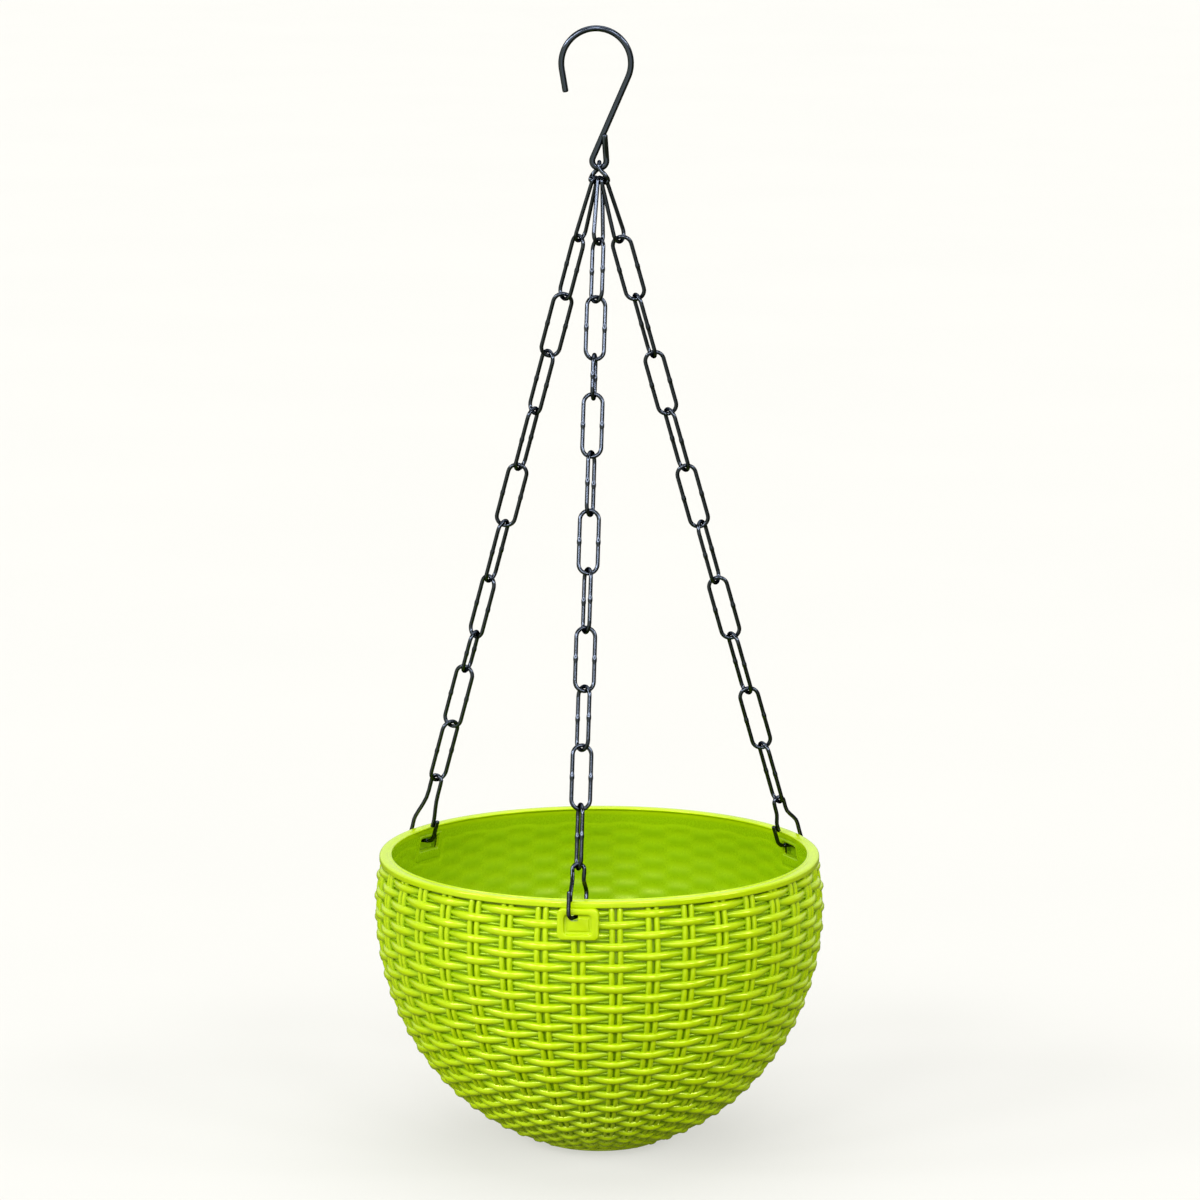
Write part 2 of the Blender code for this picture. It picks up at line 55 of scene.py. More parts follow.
JOINTS = {joint["child"]: joint for joint in frame["joints"]}

# Places read from the frame
BOWL_LOW, BOWL_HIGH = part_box("bowl")
RIM_Z = BOWL_HIGH.z
FOOT_Z = BOWL_LOW.z
EYE_Z = JOINTS["ring"]["pos_m"][2]
RING_BAR_Z = JOINTS["basket"]["pos_m"][2]
RING_BAR = Vector(JOINTS["basket"]["axis"])
RING_BAR_AZIMUTH_DEG = degrees(atan2(RING_BAR.y, RING_BAR.x))

# Bowl
RIM_RADIUS = 0.125
RIM_INNER = 0.118
RIM_HEIGHT = 0.0038
RIM_OUTER_ROUNDING = 0.0014
RIM_INNER_ROUNDING = 0.0005
RIM_LIP_WIDTH = 0.0010
RIM_LIP_HEIGHT = 0.0010
RIM_LIP_REACH = 0.0015
RIM_GROOVE_WIDTH = 0.0011
RIM_GROOVE_DEPTH = 0.00035
BOWL_HEIGHT = RIM_Z - FOOT_Z
BELLY_RADIUS = 0.1282
BELLY_DEPTH = 0.030
NECK_INSET = 0.0032
FOOT_RADIUS = 0.036
FOOT_RING_HEIGHT = 0.0016
WALL = 0.0044
NECK_WALL = 0.0050
FOOT_WALL = 0.0036
FLOOR = 0.0032
DRAIN_HOLE_DIAMETER = 0.006
DRAIN_CIRCLE_DIAMETER = 0.044
DRAIN_HOLE_COUNT = 4
DRAIN_AZIMUTH_DEG = 45
FLOOR_RING_SHARES = (0.12, 0.5, 0.8, 0.95)
UNDERSIDE_RING_SHARES = (0.8, 0.4, 0.1)
FOOT_STEP = 0.0006
FOOT_BEVEL_WIDTH = 0.0005
FOOT_BEVEL_HEIGHT = 0.0004
CUT_OVERRUN = 0.003

# Woven relief, measured inwards from the bowl's outermost envelope
STAKE_PAIRS = 38
ROW_PITCH = 0.0061
FIRST_ROW = 0.0031
GROUND_SKIN = 0.0006
STAKE_WIDTH = 0.0036
STAKE_GAP = 0.0012
STAKE_SINK = 0.0013
STAKE_BULGE = 0.0003
STAKE_DEPTH = 0.0019
WEAVER_WIDTH = 0.0051
WEAVER_DEPTH = 0.0022
WEAVER_DIVE = 0.0027
WEAVER_REACH_DEG = 157
WEAVER_SAG = 0.0009
WEAVER_TIP_SHARE = 0.52
WEAVER_TIP_POWER = 4.0
SLIVER_RADIUS = 0.0008
SLIVER_SHARES = (0.14, 0.88)
SLIVER_SINKS = (0.0024, 0.0030)
SLIVER_DROPS = (0.0020, 0.0027)
SLIVER_STEPS = 5
WANDER = 0.00016
WANDER_SEED = 11
SKIN_LEFT = 0.0005
# Painted shade: the sinks where the outside's painted shade starts and is full, how much painted shade the
# inside gets, and its base and rise over the inside print
PAINTED_SHADE_SINKS = (0.0010, 0.0036)
INSIDE_PAINTED_SHADE = 0.82
INSIDE_PAINTED_SHADE_SHARES = (0.78, 0.16)
INSIDE_RELIEF = 0.00028
INSIDE_PAIRS = 48
INSIDE_PITCH = 0.0050
BACK_RAISES = (0.0001, 0.0007)
BACK_EDGE = 0.0007
BACK_CORNER = 0.0012
WINDOW_CORNER = 0.0008
WINDOW_CHAMFER = 0.0010
INSIDE_STEP = 0.00125
INSIDE_TURNS = INSIDE_PAIRS * 12

# Lugs
LUG_AZIMUTHS_DEG = {"left": 144.75, "front": -95.25, "right": 24.75}
LUG_FACE = BELLY_RADIUS + 0.0008
LUG_WIDTH = 0.023
LUG_HEIGHT = 0.0172
LUG_TOP = 0.0036
LUG_CORNER = 0.0030
LUG_LEAST_CORNER = 0.0003
LUG_ROOT_OVERLAP = 0.0004
LUG_MARGIN = 0.0014
LUG_EDGE = 0.0007
RECESS_TOP = 0.0069
RECESS_WIDTH = 0.0150
RECESS_HEIGHT = 0.0108
RECESS_DEPTH = 0.0016
RECESS_CORNER = 0.0022
PANEL_STEP = 0.0005
PANEL_THICKNESS = 0.0014
POCKET_WIDTH = 0.0168
POCKET_HEIGHT = 0.0074
SLOT_WIDTH = 0.0044
SLOT_HEIGHT = 0.0037
SLOT_RISE = 0.0003
SLOT_CORNER = 0.0009
SLOT_OVERRUN = 0.001
POCKET_LIP = 0.0005
POCKET_OVERRUN = 0.006

# Wires
CHAIN_WIRE = 0.0023
LINK_WIDTH = 0.0128
TOP_LINK_LENGTH = 0.0399
TAPER_DEG = 8
WELD_SWELL = 1.16
CAD_WIRE_SIDES = 6
WELD_LENGTH = 0.0016
CUT_END_SHARES = ((0, 0.60), (0.07, 0.84), (0.17, 0.96), (0.30, 1.0))
END_HOOK_LENGTHS = {"left": 0.0438, "front": 0.0310, "right": 0.0325}
END_HOOK_TURNS_DEG = {"left": 4, "front": -28, "right": 4}
END_HOOK_TWISTS_DEG = {"left": 0, "front": -55, "right": 0}
END_HOOK_LAP_TURNS_DEG = {"left": 0, "front": -14, "right": 0}
END_HOOK_CORNERS = {"left": 0.0031, "front": 0.0041, "right": 0.0031}
END_HOOK_LAP = 0.0050
END_HOOK_TIP_HEIGHT = 0.0140
END_HOOK_PLAY = 0.0007
END_HOOK_CROWN_SHARE = 0.62
LEG_WIDTH_SHARES = (1, 0.97, 0.06)
LEG_HEIGHT_SHARES = (0.5, 0, 0.5)
GAP = 0.0003
RING_WIRE = 0.0025
RING_HEIGHT = 0.0137
RING_CORNER = 0.0016
RING_SHOULDER_SHARE = 0.52
RING_TWIST_DEG = 60
CROWN_SPACINGS = (0.0038, 0.0028)
HOOK_WIRE = 0.0034
HOOK_WIDTH = 0.0420
HOOK_SHIFT = 0.00175
HOOK_TIP_LENGTH = 0.0130
HOOK_TIP_LEAN_DEG = 9.5
EYE_WIDTH = 0.0113
EYE_TAIL_LENGTH = 0.0148
EYE_TAIL_LEAN_DEG = 4

# Worked out from the sizes above
BODY_DEPTH = (BOWL_HEIGHT - BELLY_DEPTH) / sqrt(1 - (FOOT_RADIUS / BELLY_RADIUS) ** 2)
PANEL_FACE = LUG_FACE - RECESS_DEPTH
LINK_BEND = (LINK_WIDTH - CHAIN_WIRE) / 2
LINK_OVERLAP = CHAIN_WIRE + GAP
CROWN_BEND = RING_WIRE / 2 + GAP + CHAIN_WIRE / 2
RING_BEND = HOOK_WIRE / 2 + GAP + RING_WIRE / 2
RING_SPAN = RING_HEIGHT - RING_WIRE
HOOK_BEND = (HOOK_WIDTH - HOOK_WIRE) / 2
EYE_BEND = (EYE_WIDTH - HOOK_WIRE) / 2
SEAT_RADIUS = (RIM_INNER + LUG_FACE) / 2 + END_HOOK_PLAY
CHAIN_NAMES = ("left", "front", "right")

# Mesh fineness
SHELL_TURNS = 228
SIDE_SAMPLES = 600
STRAND_SIDES = 8
WEAVER_STEPS = 16
STAKE_STEP = 0.0021
LUG_CORNER_STEPS = 5
LUG_SIDE_STEPS = 8
SMOOTH_STEPS = 3
INNER_STEPS = 46
GROUND_STEPS = 44
TAIL_STEPS = 10
SHARP_ANGLE_DEG = 38

# Materials
PLASTIC_TINTS = ((0.372, 0.532, 0.0004, 1), (0.413, 0.578, 0.0006, 1))
# Colour of the painted shade in the weave's hollows, in the pockets and inside the bowl
PLASTIC_PAINTED_SHADE_COLOUR = (0.205, 0.378, 0.0002, 1)
PLASTIC_SPECULAR_TINT = (1, 1, 0.30, 1)
PLASTIC_ROUGHNESS = (0.14, 0.21)
PLASTIC_DULLING = 0.12
PLASTIC_BUMP = 0.00005
HOOK_COATING = ((0.050, 0.060, 0.084, 1), 0.15)
CHAIN_COATING = ((0.043, 0.051, 0.070, 1), 0.16)
WIRE_BUMP = 0.00004
BUMP_STRENGTH = 0.2

# Camera and studio
FLOOR_COLOURS = ((0.2225, 0.2200, 0.2225, 1), (0.2275, 0.2250, 0.2275, 1))
FLOOR_GLOW = (0.573, 0.569, 0.539, 1)
SKY_FRONT = (0.12, 0.125, 0.05, 1)
SKY_BACK = (0.74, 0.75, 0.68, 1)
SKY_BELOW = (0.15, 0.155, 0.07, 1)
ROW_LIGHTS = (0.88, 0.88, 0.82, 0.72, 0.68, 0.72, 0.68)
ROW_LIGHT_STEP_DEG = 25
ROW_LIGHT_RISE_DEG = 30
ROW_LIGHT_SPREAD_DEG = 13
LOW_LIGHT = ((14, 3), 0.5, 50)
TOP_LIGHT = ((170, 78), 1.8, 60)
SKY_DEPTH_EDGES = (-0.5, 0.7)
SKY_HEIGHT_EDGES = (-0.12, 0.10)
FLOOR_REACH = 60
FLOOR_CLEARANCE = 0.0004
CAMERA_REACH = 200
BACKDROP = (0.969, 0.961, 0.930, 1)
WALL_LIGHT = (0.88, 0.90, 0.62, 1)
WALL_LIGHT_AZIMUTH_DEG = -142
WALL_LIGHT_EDGES = (0.58, 0.84)
CAMERA_PLACE = (0.0004, -3.0, 0.2093)
CAMERA_TILT_DEG = 80.0
CAMERA_LENS = 162.04
CAMERA_SENSOR = 36.0


def smooth_step(value):
    value = min(1.0, max(0.0, value))
    return value * value * (3 - 2 * value)


def blend(a, b, share):
    return a + (b - a) * share


def direction(azimuth_deg):
    return Vector((cos(radians(azimuth_deg)), sin(radians(azimuth_deg)), 0))


def arc(centre, radius, start_deg, end_deg, step_deg):
    count = max(2, round(abs(end_deg - start_deg) / step_deg))
    angles = [radians(blend(start_deg, end_deg, i / count)) for i in range(count + 1)]
    return [(centre[0] + radius * cos(a), centre[1] + radius * sin(a)) for a in angles]


# Materials

def new_material(name):
    material = bpy.data.materials.new(name)
    material.use_nodes = True
    nodes = material.node_tree.nodes
    return material, nodes, material.node_tree.links, nodes["Principled BSDF"]


def noise_node(nodes, links, scale, detail, stretch=(1, 1, 1)):
    """Noise in object space, at a real size."""
    place = nodes.new("ShaderNodeTexCoord")
    mapping = nodes.new("ShaderNodeMapping")
    mapping.inputs["Scale"].default_value = stretch
    noise = nodes.new("ShaderNodeTexNoise")
    noise.inputs["Scale"].default_value = scale
    noise.inputs["Detail"].default_value = detail
    links.new(place.outputs["Object"], mapping.inputs["Vector"])
    links.new(mapping.outputs["Vector"], noise.inputs["Vector"])
    return noise


def ramp_node(nodes, links, source, low, high, colours):
    ramp = nodes.new("ShaderNodeValToRGB")
    ramp.color_ramp.elements[0].position = low
    ramp.color_ramp.elements[1].position = high
    ramp.color_ramp.elements[0].color = colours[0]
    ramp.color_ramp.elements[1].color = colours[1]
    links.new(source, ramp.inputs["Fac"])
    return ramp


def range_node(nodes, links, source, low, high):
    change = nodes.new("ShaderNodeMapRange")
    change.inputs["To Min"].default_value = low
    change.inputs["To Max"].default_value = high
    links.new(source, change.inputs["Value"])
    return change


def smooth_range(nodes, links, source, edges):
    """Zero to one between two edges, without a corner at either."""
    change = range_node(nodes, links, source, 0, 1)
    change.interpolation_type = "SMOOTHSTEP"
    change.inputs["From Min"].default_value = edges[0]
    change.inputs["From Max"].default_value = edges[1]
    return change


def bump_node(nodes, links, source, shader, strength, distance):
    bump = nodes.new("ShaderNodeBump")
    bump.inputs["Strength"].default_value = strength
    bump.inputs["Distance"].default_value = distance
    links.new(source, bump.inputs["Height"])
    links.new(bump.outputs["Normal"], shader.inputs["Normal"])


def plastic_material():
    """Glossy lime polypropylene with a faint cloudiness and mould texture; painted shade darkens it and
    dulls its gloss in the weave's hollows, the pockets and inside.
    """
    material, nodes, links, shader = new_material("lime_moulded_plastic")
    shader.inputs["Specular Tint"].default_value = PLASTIC_SPECULAR_TINT
    cloud = noise_node(nodes, links, 28, 3)
    tint = ramp_node(nodes, links, cloud.outputs["Fac"], 0.3, 0.7, PLASTIC_TINTS)
    # Painted shade: the colour darkens towards the shade colour by the per-point painted shade value
    painted_shade = nodes.new("ShaderNodeAttribute")
    painted_shade.attribute_name = "painted_shade"
    painted_shade_mix = nodes.new("ShaderNodeMixRGB")
    painted_shade_mix.inputs["Color2"].default_value = PLASTIC_PAINTED_SHADE_COLOUR
    links.new(painted_shade.outputs["Fac"], painted_shade_mix.inputs["Fac"])
    links.new(tint.outputs["Color"], painted_shade_mix.inputs["Color1"])
    links.new(painted_shade_mix.outputs["Color"], shader.inputs["Base Color"])
    grain = noise_node(nodes, links, 900, 4)
    gloss = range_node(nodes, links, grain.outputs["Fac"], *PLASTIC_ROUGHNESS)
    dull = nodes.new("ShaderNodeMath")
    dull.operation = "MULTIPLY_ADD"
    dull.inputs[1].default_value = PLASTIC_DULLING
    links.new(painted_shade.outputs["Fac"], dull.inputs[0])
    links.new(gloss.outputs["Result"], dull.inputs[2])
    links.new(dull.outputs["Value"], shader.inputs["Roughness"])
    shader.inputs["Specular IOR Level"].default_value = 1
    bump_node(nodes, links, grain.outputs["Fac"], shader, BUMP_STRENGTH, PLASTIC_BUMP)
    return material


def wire_material(name, colour, roughness):
    """Black coated steel wire: near-black, with fine streaks and small pits."""
    material, nodes, links, shader = new_material(name)
    pits = noise_node(nodes, links, 1400, 5)
    tint = ramp_node(nodes, links, pits.outputs["Fac"], 0.35, 0.75,
                     (colour, tuple(1.3 * c for c in colour[:3]) + (1,)))
    links.new(tint.outputs["Color"], shader.inputs["Base Color"])
    gloss = range_node(nodes, links, pits.outputs["Fac"], roughness * 0.8, roughness * 1.3)
    links.new(gloss.outputs["Result"], shader.inputs["Roughness"])
    shader.inputs["Metallic"].default_value = 1
    shader.inputs["Specular Tint"].default_value = (0, 0, 0, 1)
    bump_node(nodes, links, pits.outputs["Fac"], shader, BUMP_STRENGTH, WIRE_BUMP)
    return material


def floor_material():
    """A pale lit table: its own glow keeps the shadows faint."""
    material, nodes, links, shader = new_material("studio_floor")
    grain = noise_node(nodes, links, 3, 2)
    tint = ramp_node(nodes, links, grain.outputs["Fac"], 0.3, 0.7, FLOOR_COLOURS)
    links.new(tint.outputs["Color"], shader.inputs["Base Color"])
    shader.inputs["Roughness"].default_value = 0.9
    shader.inputs["Specular IOR Level"].default_value = 0
    shader.inputs["Emission Color"].default_value = FLOOR_GLOW
    shader.inputs["Emission Strength"].default_value = 1
    return material


# The bowl's side

def body_radius(depth):
    """Radius of the outermost weave at a depth below the rim's top."""
    if depth < BELLY_DEPTH:
        rise = (BELLY_DEPTH - depth) / (BELLY_DEPTH - RIM_HEIGHT)
        return BELLY_RADIUS - NECK_INSET * rise ** 2
    below = (depth - BELLY_DEPTH) / BODY_DEPTH
    return BELLY_RADIUS * sqrt(max(0.0, 1 - below ** 2))


def side_table():
    """Run, radius, depth and outward normal along the bowl's side, from the rim to the foot."""
    shares = [sin(pi / 2 * i / SIDE_SAMPLES) for i in range(SIDE_SAMPLES + 1)]
    depths = [blend(RIM_HEIGHT, BOWL_HEIGHT, share) for share in shares]
    points = [Vector((body_radius(depth), -depth)) for depth in depths]
    table = []
    run = 0.0
    for index, point in enumerate(points):
        along = points[min(index + 1, SIDE_SAMPLES)] - points[max(index - 1, 0)]
        normal = Vector((-along.y, along.x)).normalized()
        if index:
            run += (point - points[index - 1]).length
        table.append((run, point, normal))
    return table


SIDE = side_table()
SIDE_RUNS = [run for run, _, _ in SIDE]
SIDE_DEPTHS = [-point.y for _, point, _ in SIDE]
SIDE_LENGTH = SIDE_RUNS[-1]


def side_at(run):
    """Point and outward normal of the side, in radius and height, at a run along it."""
    run = min(max(run, 0.0), SIDE_LENGTH)
    high = min(max(bisect(SIDE_RUNS, run), 1), SIDE_SAMPLES)
    share = (run - SIDE_RUNS[high - 1]) / (SIDE_RUNS[high] - SIDE_RUNS[high - 1])
    point = SIDE[high - 1][1].lerp(SIDE[high][1], share)
    normal = SIDE[high - 1][2].lerp(SIDE[high][2], share).normalized()
    return point, normal


def run_at(depth):
    depth = min(max(depth, RIM_HEIGHT), BOWL_HEIGHT)
    high = min(max(bisect(SIDE_DEPTHS, depth), 1), SIDE_SAMPLES)
    share = (depth - SIDE_DEPTHS[high - 1]) / (SIDE_DEPTHS[high] - SIDE_DEPTHS[high - 1])
    return blend(SIDE_RUNS[high - 1], SIDE_RUNS[high], share)


def sink_of(point):
    """How far a point lies below the side's envelope."""
    place, normal = side_at(run_at(RIM_Z - point.z))
    return (place - Vector((hypot(point.x, point.y), point.z - RIM_Z))).dot(normal)


def on_side(azimuth, run, sink):
    """A point in the frame, at an azimuth in radians, sunk below the envelope."""
    point, normal = side_at(run)
    radius, height = point - normal * sink
    return (radius * cos(azimuth), radius * sin(azimuth), RIM_Z + height)


def inner_sink(run):
    """How far the inner wall lies below the envelope."""
    if run < BELLY_DEPTH:
        return blend(NECK_WALL, WALL, smooth_step(run / BELLY_DEPTH))
    return blend(WALL, FOOT_WALL, smooth_step((run - BELLY_DEPTH) / (SIDE_LENGTH - BELLY_DEPTH)))


def inner_radius(depth):
    return body_radius(depth) - WALL


# Meshes

class Skin:
    """Patches of points gathered into one mesh."""

    def __init__(self):
        self.points = []
        self.faces = []

    def patch(self, rows, round_rows=False, cap_first=False, cap_last=False):
        start = len(self.points)
        width = len(rows[0])
        for row in rows:
            self.points.extend(row)
        steps = width if round_rows else width - 1
        for i in range(len(rows) - 1):
            for j in range(steps):
                a = start + i * width + j
                b = start + i * width + (j + 1) % width
                self.faces.append((a, b, b + width, a + width))
        last = start + (len(rows) - 1) * width
        if cap_first:
            self.faces.append(tuple(range(start + width - 1, start - 1, -1)))
        if cap_last:
            self.faces.append(tuple(range(last, last + width)))

    def drop(self, hidden):
        """Leaves out the faces whose middle is hidden."""
        kept = []
        for face in self.faces:
            middle = sum((Vector(self.points[i]) for i in face), Vector()) / len(face)
            if not hidden(middle):
                kept.append(face)
        self.faces = kept

    def to_object(self, name):
        """One smooth mesh object of all the patches."""
        mesh = bpy.data.meshes.new(name)
        mesh.from_pydata(self.points, [], self.faces)
        shape = bmesh.new()
        shape.from_mesh(mesh)
        loose = [v for v in shape.verts if not v.link_faces]
        bmesh.ops.delete(shape, geom=loose, context="VERTS")
        bmesh.ops.recalc_face_normals(shape, faces=shape.faces)
        shape.to_mesh(mesh)
        shape.free()
        mesh.shade_smooth()
        obj = bpy.data.objects.new(name, mesh)
        bpy.context.scene.collection.objects.link(obj)
        return obj


def apply_boolean(obj, tool, operation):
    modifier = obj.modifiers.new("cut", "BOOLEAN")
    modifier.operation = operation
    modifier.solver = "EXACT"
    modifier.object = tool
    bpy.context.view_layer.update()
    evaluated = obj.evaluated_get(bpy.context.evaluated_depsgraph_get())
    mesh = bpy.data.meshes.new_from_object(evaluated)
    obj.modifiers.clear()
    old = obj.data
    obj.data = mesh
    bpy.data.meshes.remove(old)
    bpy.data.objects.remove(tool, do_unlink=True)


# Painted shade: how deep in the weave each point lies, darkening the plastic's colour where shadow would
# fall

# Painted shade on the outside: full in the pockets, the inside's level on inner faces, growing with the
# sink in the weave's hollows
def outside_painted_shade(point):
    depth = RIM_Z - point.z
    if depth < RIM_HEIGHT:
        return 0
    if in_a_pocket(point) and hypot(point.x, point.y) < PANEL_FACE - PANEL_THICKNESS / 2:
        return 1
    sink = sink_of(point)
    if sink > inner_sink(run_at(depth)) - GROUND_SKIN / 2:
        return INSIDE_PAINTED_SHADE
    return smooth_step((sink - PAINTED_SHADE_SINKS[0]) / (PAINTED_SHADE_SINKS[1] - PAINTED_SHADE_SINKS[0]))


# Painted shade on the inside: darker overall and darker where the print is raised; points sunk well below
# the inner wall, such as the windows' chamfers, get none
def inside_painted_shade(point):
    raised = sink_of(point) - inner_sink(run_at(RIM_Z - point.z))
    if raised < -1.4 * INSIDE_RELIEF:
        return 0
    base, rise = INSIDE_PAINTED_SHADE_SHARES
    return INSIDE_PAINTED_SHADE * (base + max(raised / INSIDE_RELIEF, 0) * rise)


# Stores the painted shade of each point for the plastic's colour
def add_painted_shades(obj, rule):
    painted_shades = obj.data.attributes.new("painted_shade", "FLOAT", "POINT")
    for vertex, item in zip(obj.data.vertices, painted_shades.data):
        item.value = min(1.0, max(0.0, rule(vertex.co)))


# Bowl shell

def shell_profile():
    """Radius and height, from the floor's middle up the inside, over the rim and down the ground."""
    floor = -(BOWL_HEIGHT - FLOOR)
    points = [(FOOT_RADIUS * share, floor) for share in FLOOR_RING_SHARES]
    for i in range(INNER_STEPS + 1):
        run = SIDE_LENGTH * (1 - i / INNER_STEPS)
        point, normal = side_at(run)
        inside = point - normal * inner_sink(run)
        points.append((inside.x, min(max(inside.y, floor + FOOT_RING_HEIGHT / 4), -RIM_HEIGHT)))
    lip_in = RIM_INNER
    lip_out = RIM_INNER + RIM_LIP_WIDTH
    groove_out = lip_out + RIM_GROOVE_WIDTH
    points.append((lip_in + RIM_LIP_REACH * 1.1, -RIM_LIP_HEIGHT * 2.2))
    points.append((lip_in + RIM_LIP_REACH * 0.9, -RIM_LIP_HEIGHT * 1.5))
    points.append((lip_in + RIM_LIP_REACH * 0.15, -RIM_LIP_HEIGHT * 1.1))
    points.append((lip_in, -RIM_LIP_HEIGHT * 0.9))
    points += arc((lip_in + RIM_INNER_ROUNDING, -RIM_INNER_ROUNDING), RIM_INNER_ROUNDING, 180, 90, 22.5)
    points.append((lip_out - RIM_INNER_ROUNDING / 2, 0))
    points.append((lip_out - RIM_INNER_ROUNDING / 5, -RIM_GROOVE_DEPTH * 0.3))
    points += [(lip_out, -RIM_GROOVE_DEPTH), (groove_out, -RIM_GROOVE_DEPTH)]
    points.append((groove_out + RIM_GROOVE_WIDTH / 2, -RIM_GROOVE_DEPTH * 0.25))
    points.append((groove_out + RIM_GROOVE_WIDTH, 0))
    points += arc((RIM_RADIUS - RIM_OUTER_ROUNDING, -RIM_OUTER_ROUNDING), RIM_OUTER_ROUNDING, 90, 0, 15)
    under = RIM_OUTER_ROUNDING / 2
    points += arc((RIM_RADIUS - under, -RIM_HEIGHT + under), under, 0, -90, 22.5)
    for i in range(GROUND_STEPS + 1):
        run = SIDE_LENGTH * i / GROUND_STEPS
        point, normal = side_at(run)
        sunk = point - normal * (inner_sink(run) - GROUND_SKIN)
        points.append((sunk.x, min(sunk.y, -RIM_HEIGHT)))
    foot_top = -BOWL_HEIGHT + FOOT_RING_HEIGHT
    points += [(FOOT_RADIUS - FOOT_STEP, foot_top), (FOOT_RADIUS, foot_top - FOOT_BEVEL_HEIGHT)]
    points.append((FOOT_RADIUS, -BOWL_HEIGHT + FOOT_BEVEL_HEIGHT))
    points.append((FOOT_RADIUS - FOOT_BEVEL_WIDTH, -BOWL_HEIGHT))
    points += [(FOOT_RADIUS * share, -BOWL_HEIGHT) for share in UNDERSIDE_RING_SHARES]
    return points


def turned_rows(profile, turns):
    rows = []
    for radius, height in profile:
        angles = [2 * pi * i / turns for i in range(turns)]
        rows.append([(radius * cos(a), radius * sin(a), RIM_Z + height) for a in angles])
    return rows


def box_outline(width, top, height, corner):
    """Points round a rectangle with rounded corners, as places along the wall and above it."""
    half = width / 2
    corners = [(half, -top), (-half, -top), (-half, -top - height), (half, -top - height)]
    points = []
    for quarter, (s, t) in enumerate(corners):
        centre = (s - corner * (1 if s > 0 else -1), t - corner * (1 if quarter < 2 else -1))
        turned = arc(centre, corner, 90 * quarter, 90 * quarter + 90, 90 / LUG_CORNER_STEPS)
        if points:
            points += between(points[-1], turned[0])
        points += turned
    return points + between(points[-1], points[0])


def between(a, b):
    shares = [step / LUG_SIDE_STEPS for step in range(1, LUG_SIDE_STEPS)]
    return [(blend(a[0], b[0], share), blend(a[1], b[1], share)) for share in shares]


def rounded_rectangle(azimuth_deg, distance, width, top, height, corner):
    """Points round a lug's outline, at a distance out from the bowl's axis."""
    out = direction(azimuth_deg) * distance
    along = direction(azimuth_deg + 90)
    outline = box_outline(width, top, height, corner)
    return [tuple(out + along * a + Vector((0, 0, RIM_Z + b))) for a, b in outline]


def lug_pads():
    """Framed pads: a raised border, a chamfered recess and a slightly raised panel in it."""
    skin = Skin()
    for azimuth in LUG_AZIMUTHS_DEG.values():
        outline = (LUG_WIDTH, LUG_TOP, LUG_HEIGHT, LUG_CORNER)
        recess = (RECESS_WIDTH, RECESS_TOP, RECESS_HEIGHT, RECESS_CORNER)

        def ring(frame_size, inset, distance):
            width, top, height, corner = frame_size
            corner = max(corner - inset, LUG_LEAST_CORNER)
            size = (width - 2 * inset, top + inset, height - 2 * inset, corner)
            return rounded_rectangle(azimuth, distance, *size)

        root = body_radius(LUG_TOP + LUG_HEIGHT) - WALL + LUG_ROOT_OVERLAP
        rows = [
            ring(outline, 0, root),
            ring(outline, 0, LUG_FACE - LUG_EDGE * 1.2),
            ring(outline, LUG_EDGE * 0.12, LUG_FACE - LUG_EDGE * 0.62),
            ring(outline, LUG_EDGE * 0.38, LUG_FACE - LUG_EDGE * 0.22),
            ring(outline, LUG_EDGE * 0.85, LUG_FACE),
            ring(recess, -LUG_EDGE * 1.35, LUG_FACE),
            ring(recess, -LUG_EDGE * 0.75, LUG_FACE - LUG_EDGE * 0.18),
            ring(recess, -LUG_EDGE * 0.35, LUG_FACE - LUG_EDGE * 0.55),
            ring(recess, 0, PANEL_FACE + PANEL_STEP * 0.3),
            ring(recess, PANEL_STEP * 0.6, PANEL_FACE),
            ring(recess, PANEL_STEP * 2.6, PANEL_FACE),
            ring(recess, PANEL_STEP * 3.4, PANEL_FACE + PANEL_STEP * 0.8),
            ring(recess, PANEL_STEP * 4.6, PANEL_FACE + PANEL_STEP),
        ]
        skin.patch(rows, round_rows=True, cap_first=True, cap_last=True)
    return skin.to_object("lug_pads")


def slot_middle(name):
    outward = PANEL_FACE - PANEL_THICKNESS / 2 - SEAT_RADIUS
    hook = Vector(JOINTS[name + "_hook"]["pos_m"])
    shift = hook.dot(direction(LUG_AZIMUTHS_DEG[name] + 90))
    return shift + outward * tan(radians(END_HOOK_TURNS_DEG[name]))


def lug_pockets():
    """The pockets inside the wall, behind the lugs' panels."""
    skin = Skin()
    for azimuth in LUG_AZIMUTHS_DEG.values():
        lip = POCKET_LIP
        near = inner_radius(RECESS_TOP) - POCKET_OVERRUN
        mouth = inner_radius(RECESS_TOP + POCKET_HEIGHT / 2)
        wide = (POCKET_WIDTH + lip, RECESS_TOP - lip / 2, POCKET_HEIGHT + lip, WINDOW_CORNER)
        narrow = (POCKET_WIDTH, RECESS_TOP, POCKET_HEIGHT, WINDOW_CORNER)
        rows = [
            rounded_rectangle(azimuth, near, *wide),
            rounded_rectangle(azimuth, mouth, *wide),
            rounded_rectangle(azimuth, mouth + lip, *narrow),
            rounded_rectangle(azimuth, PANEL_FACE - PANEL_THICKNESS, *narrow),
        ]
        skin.patch(rows, round_rows=True, cap_first=True, cap_last=True)
    return skin.to_object("lug_pockets")


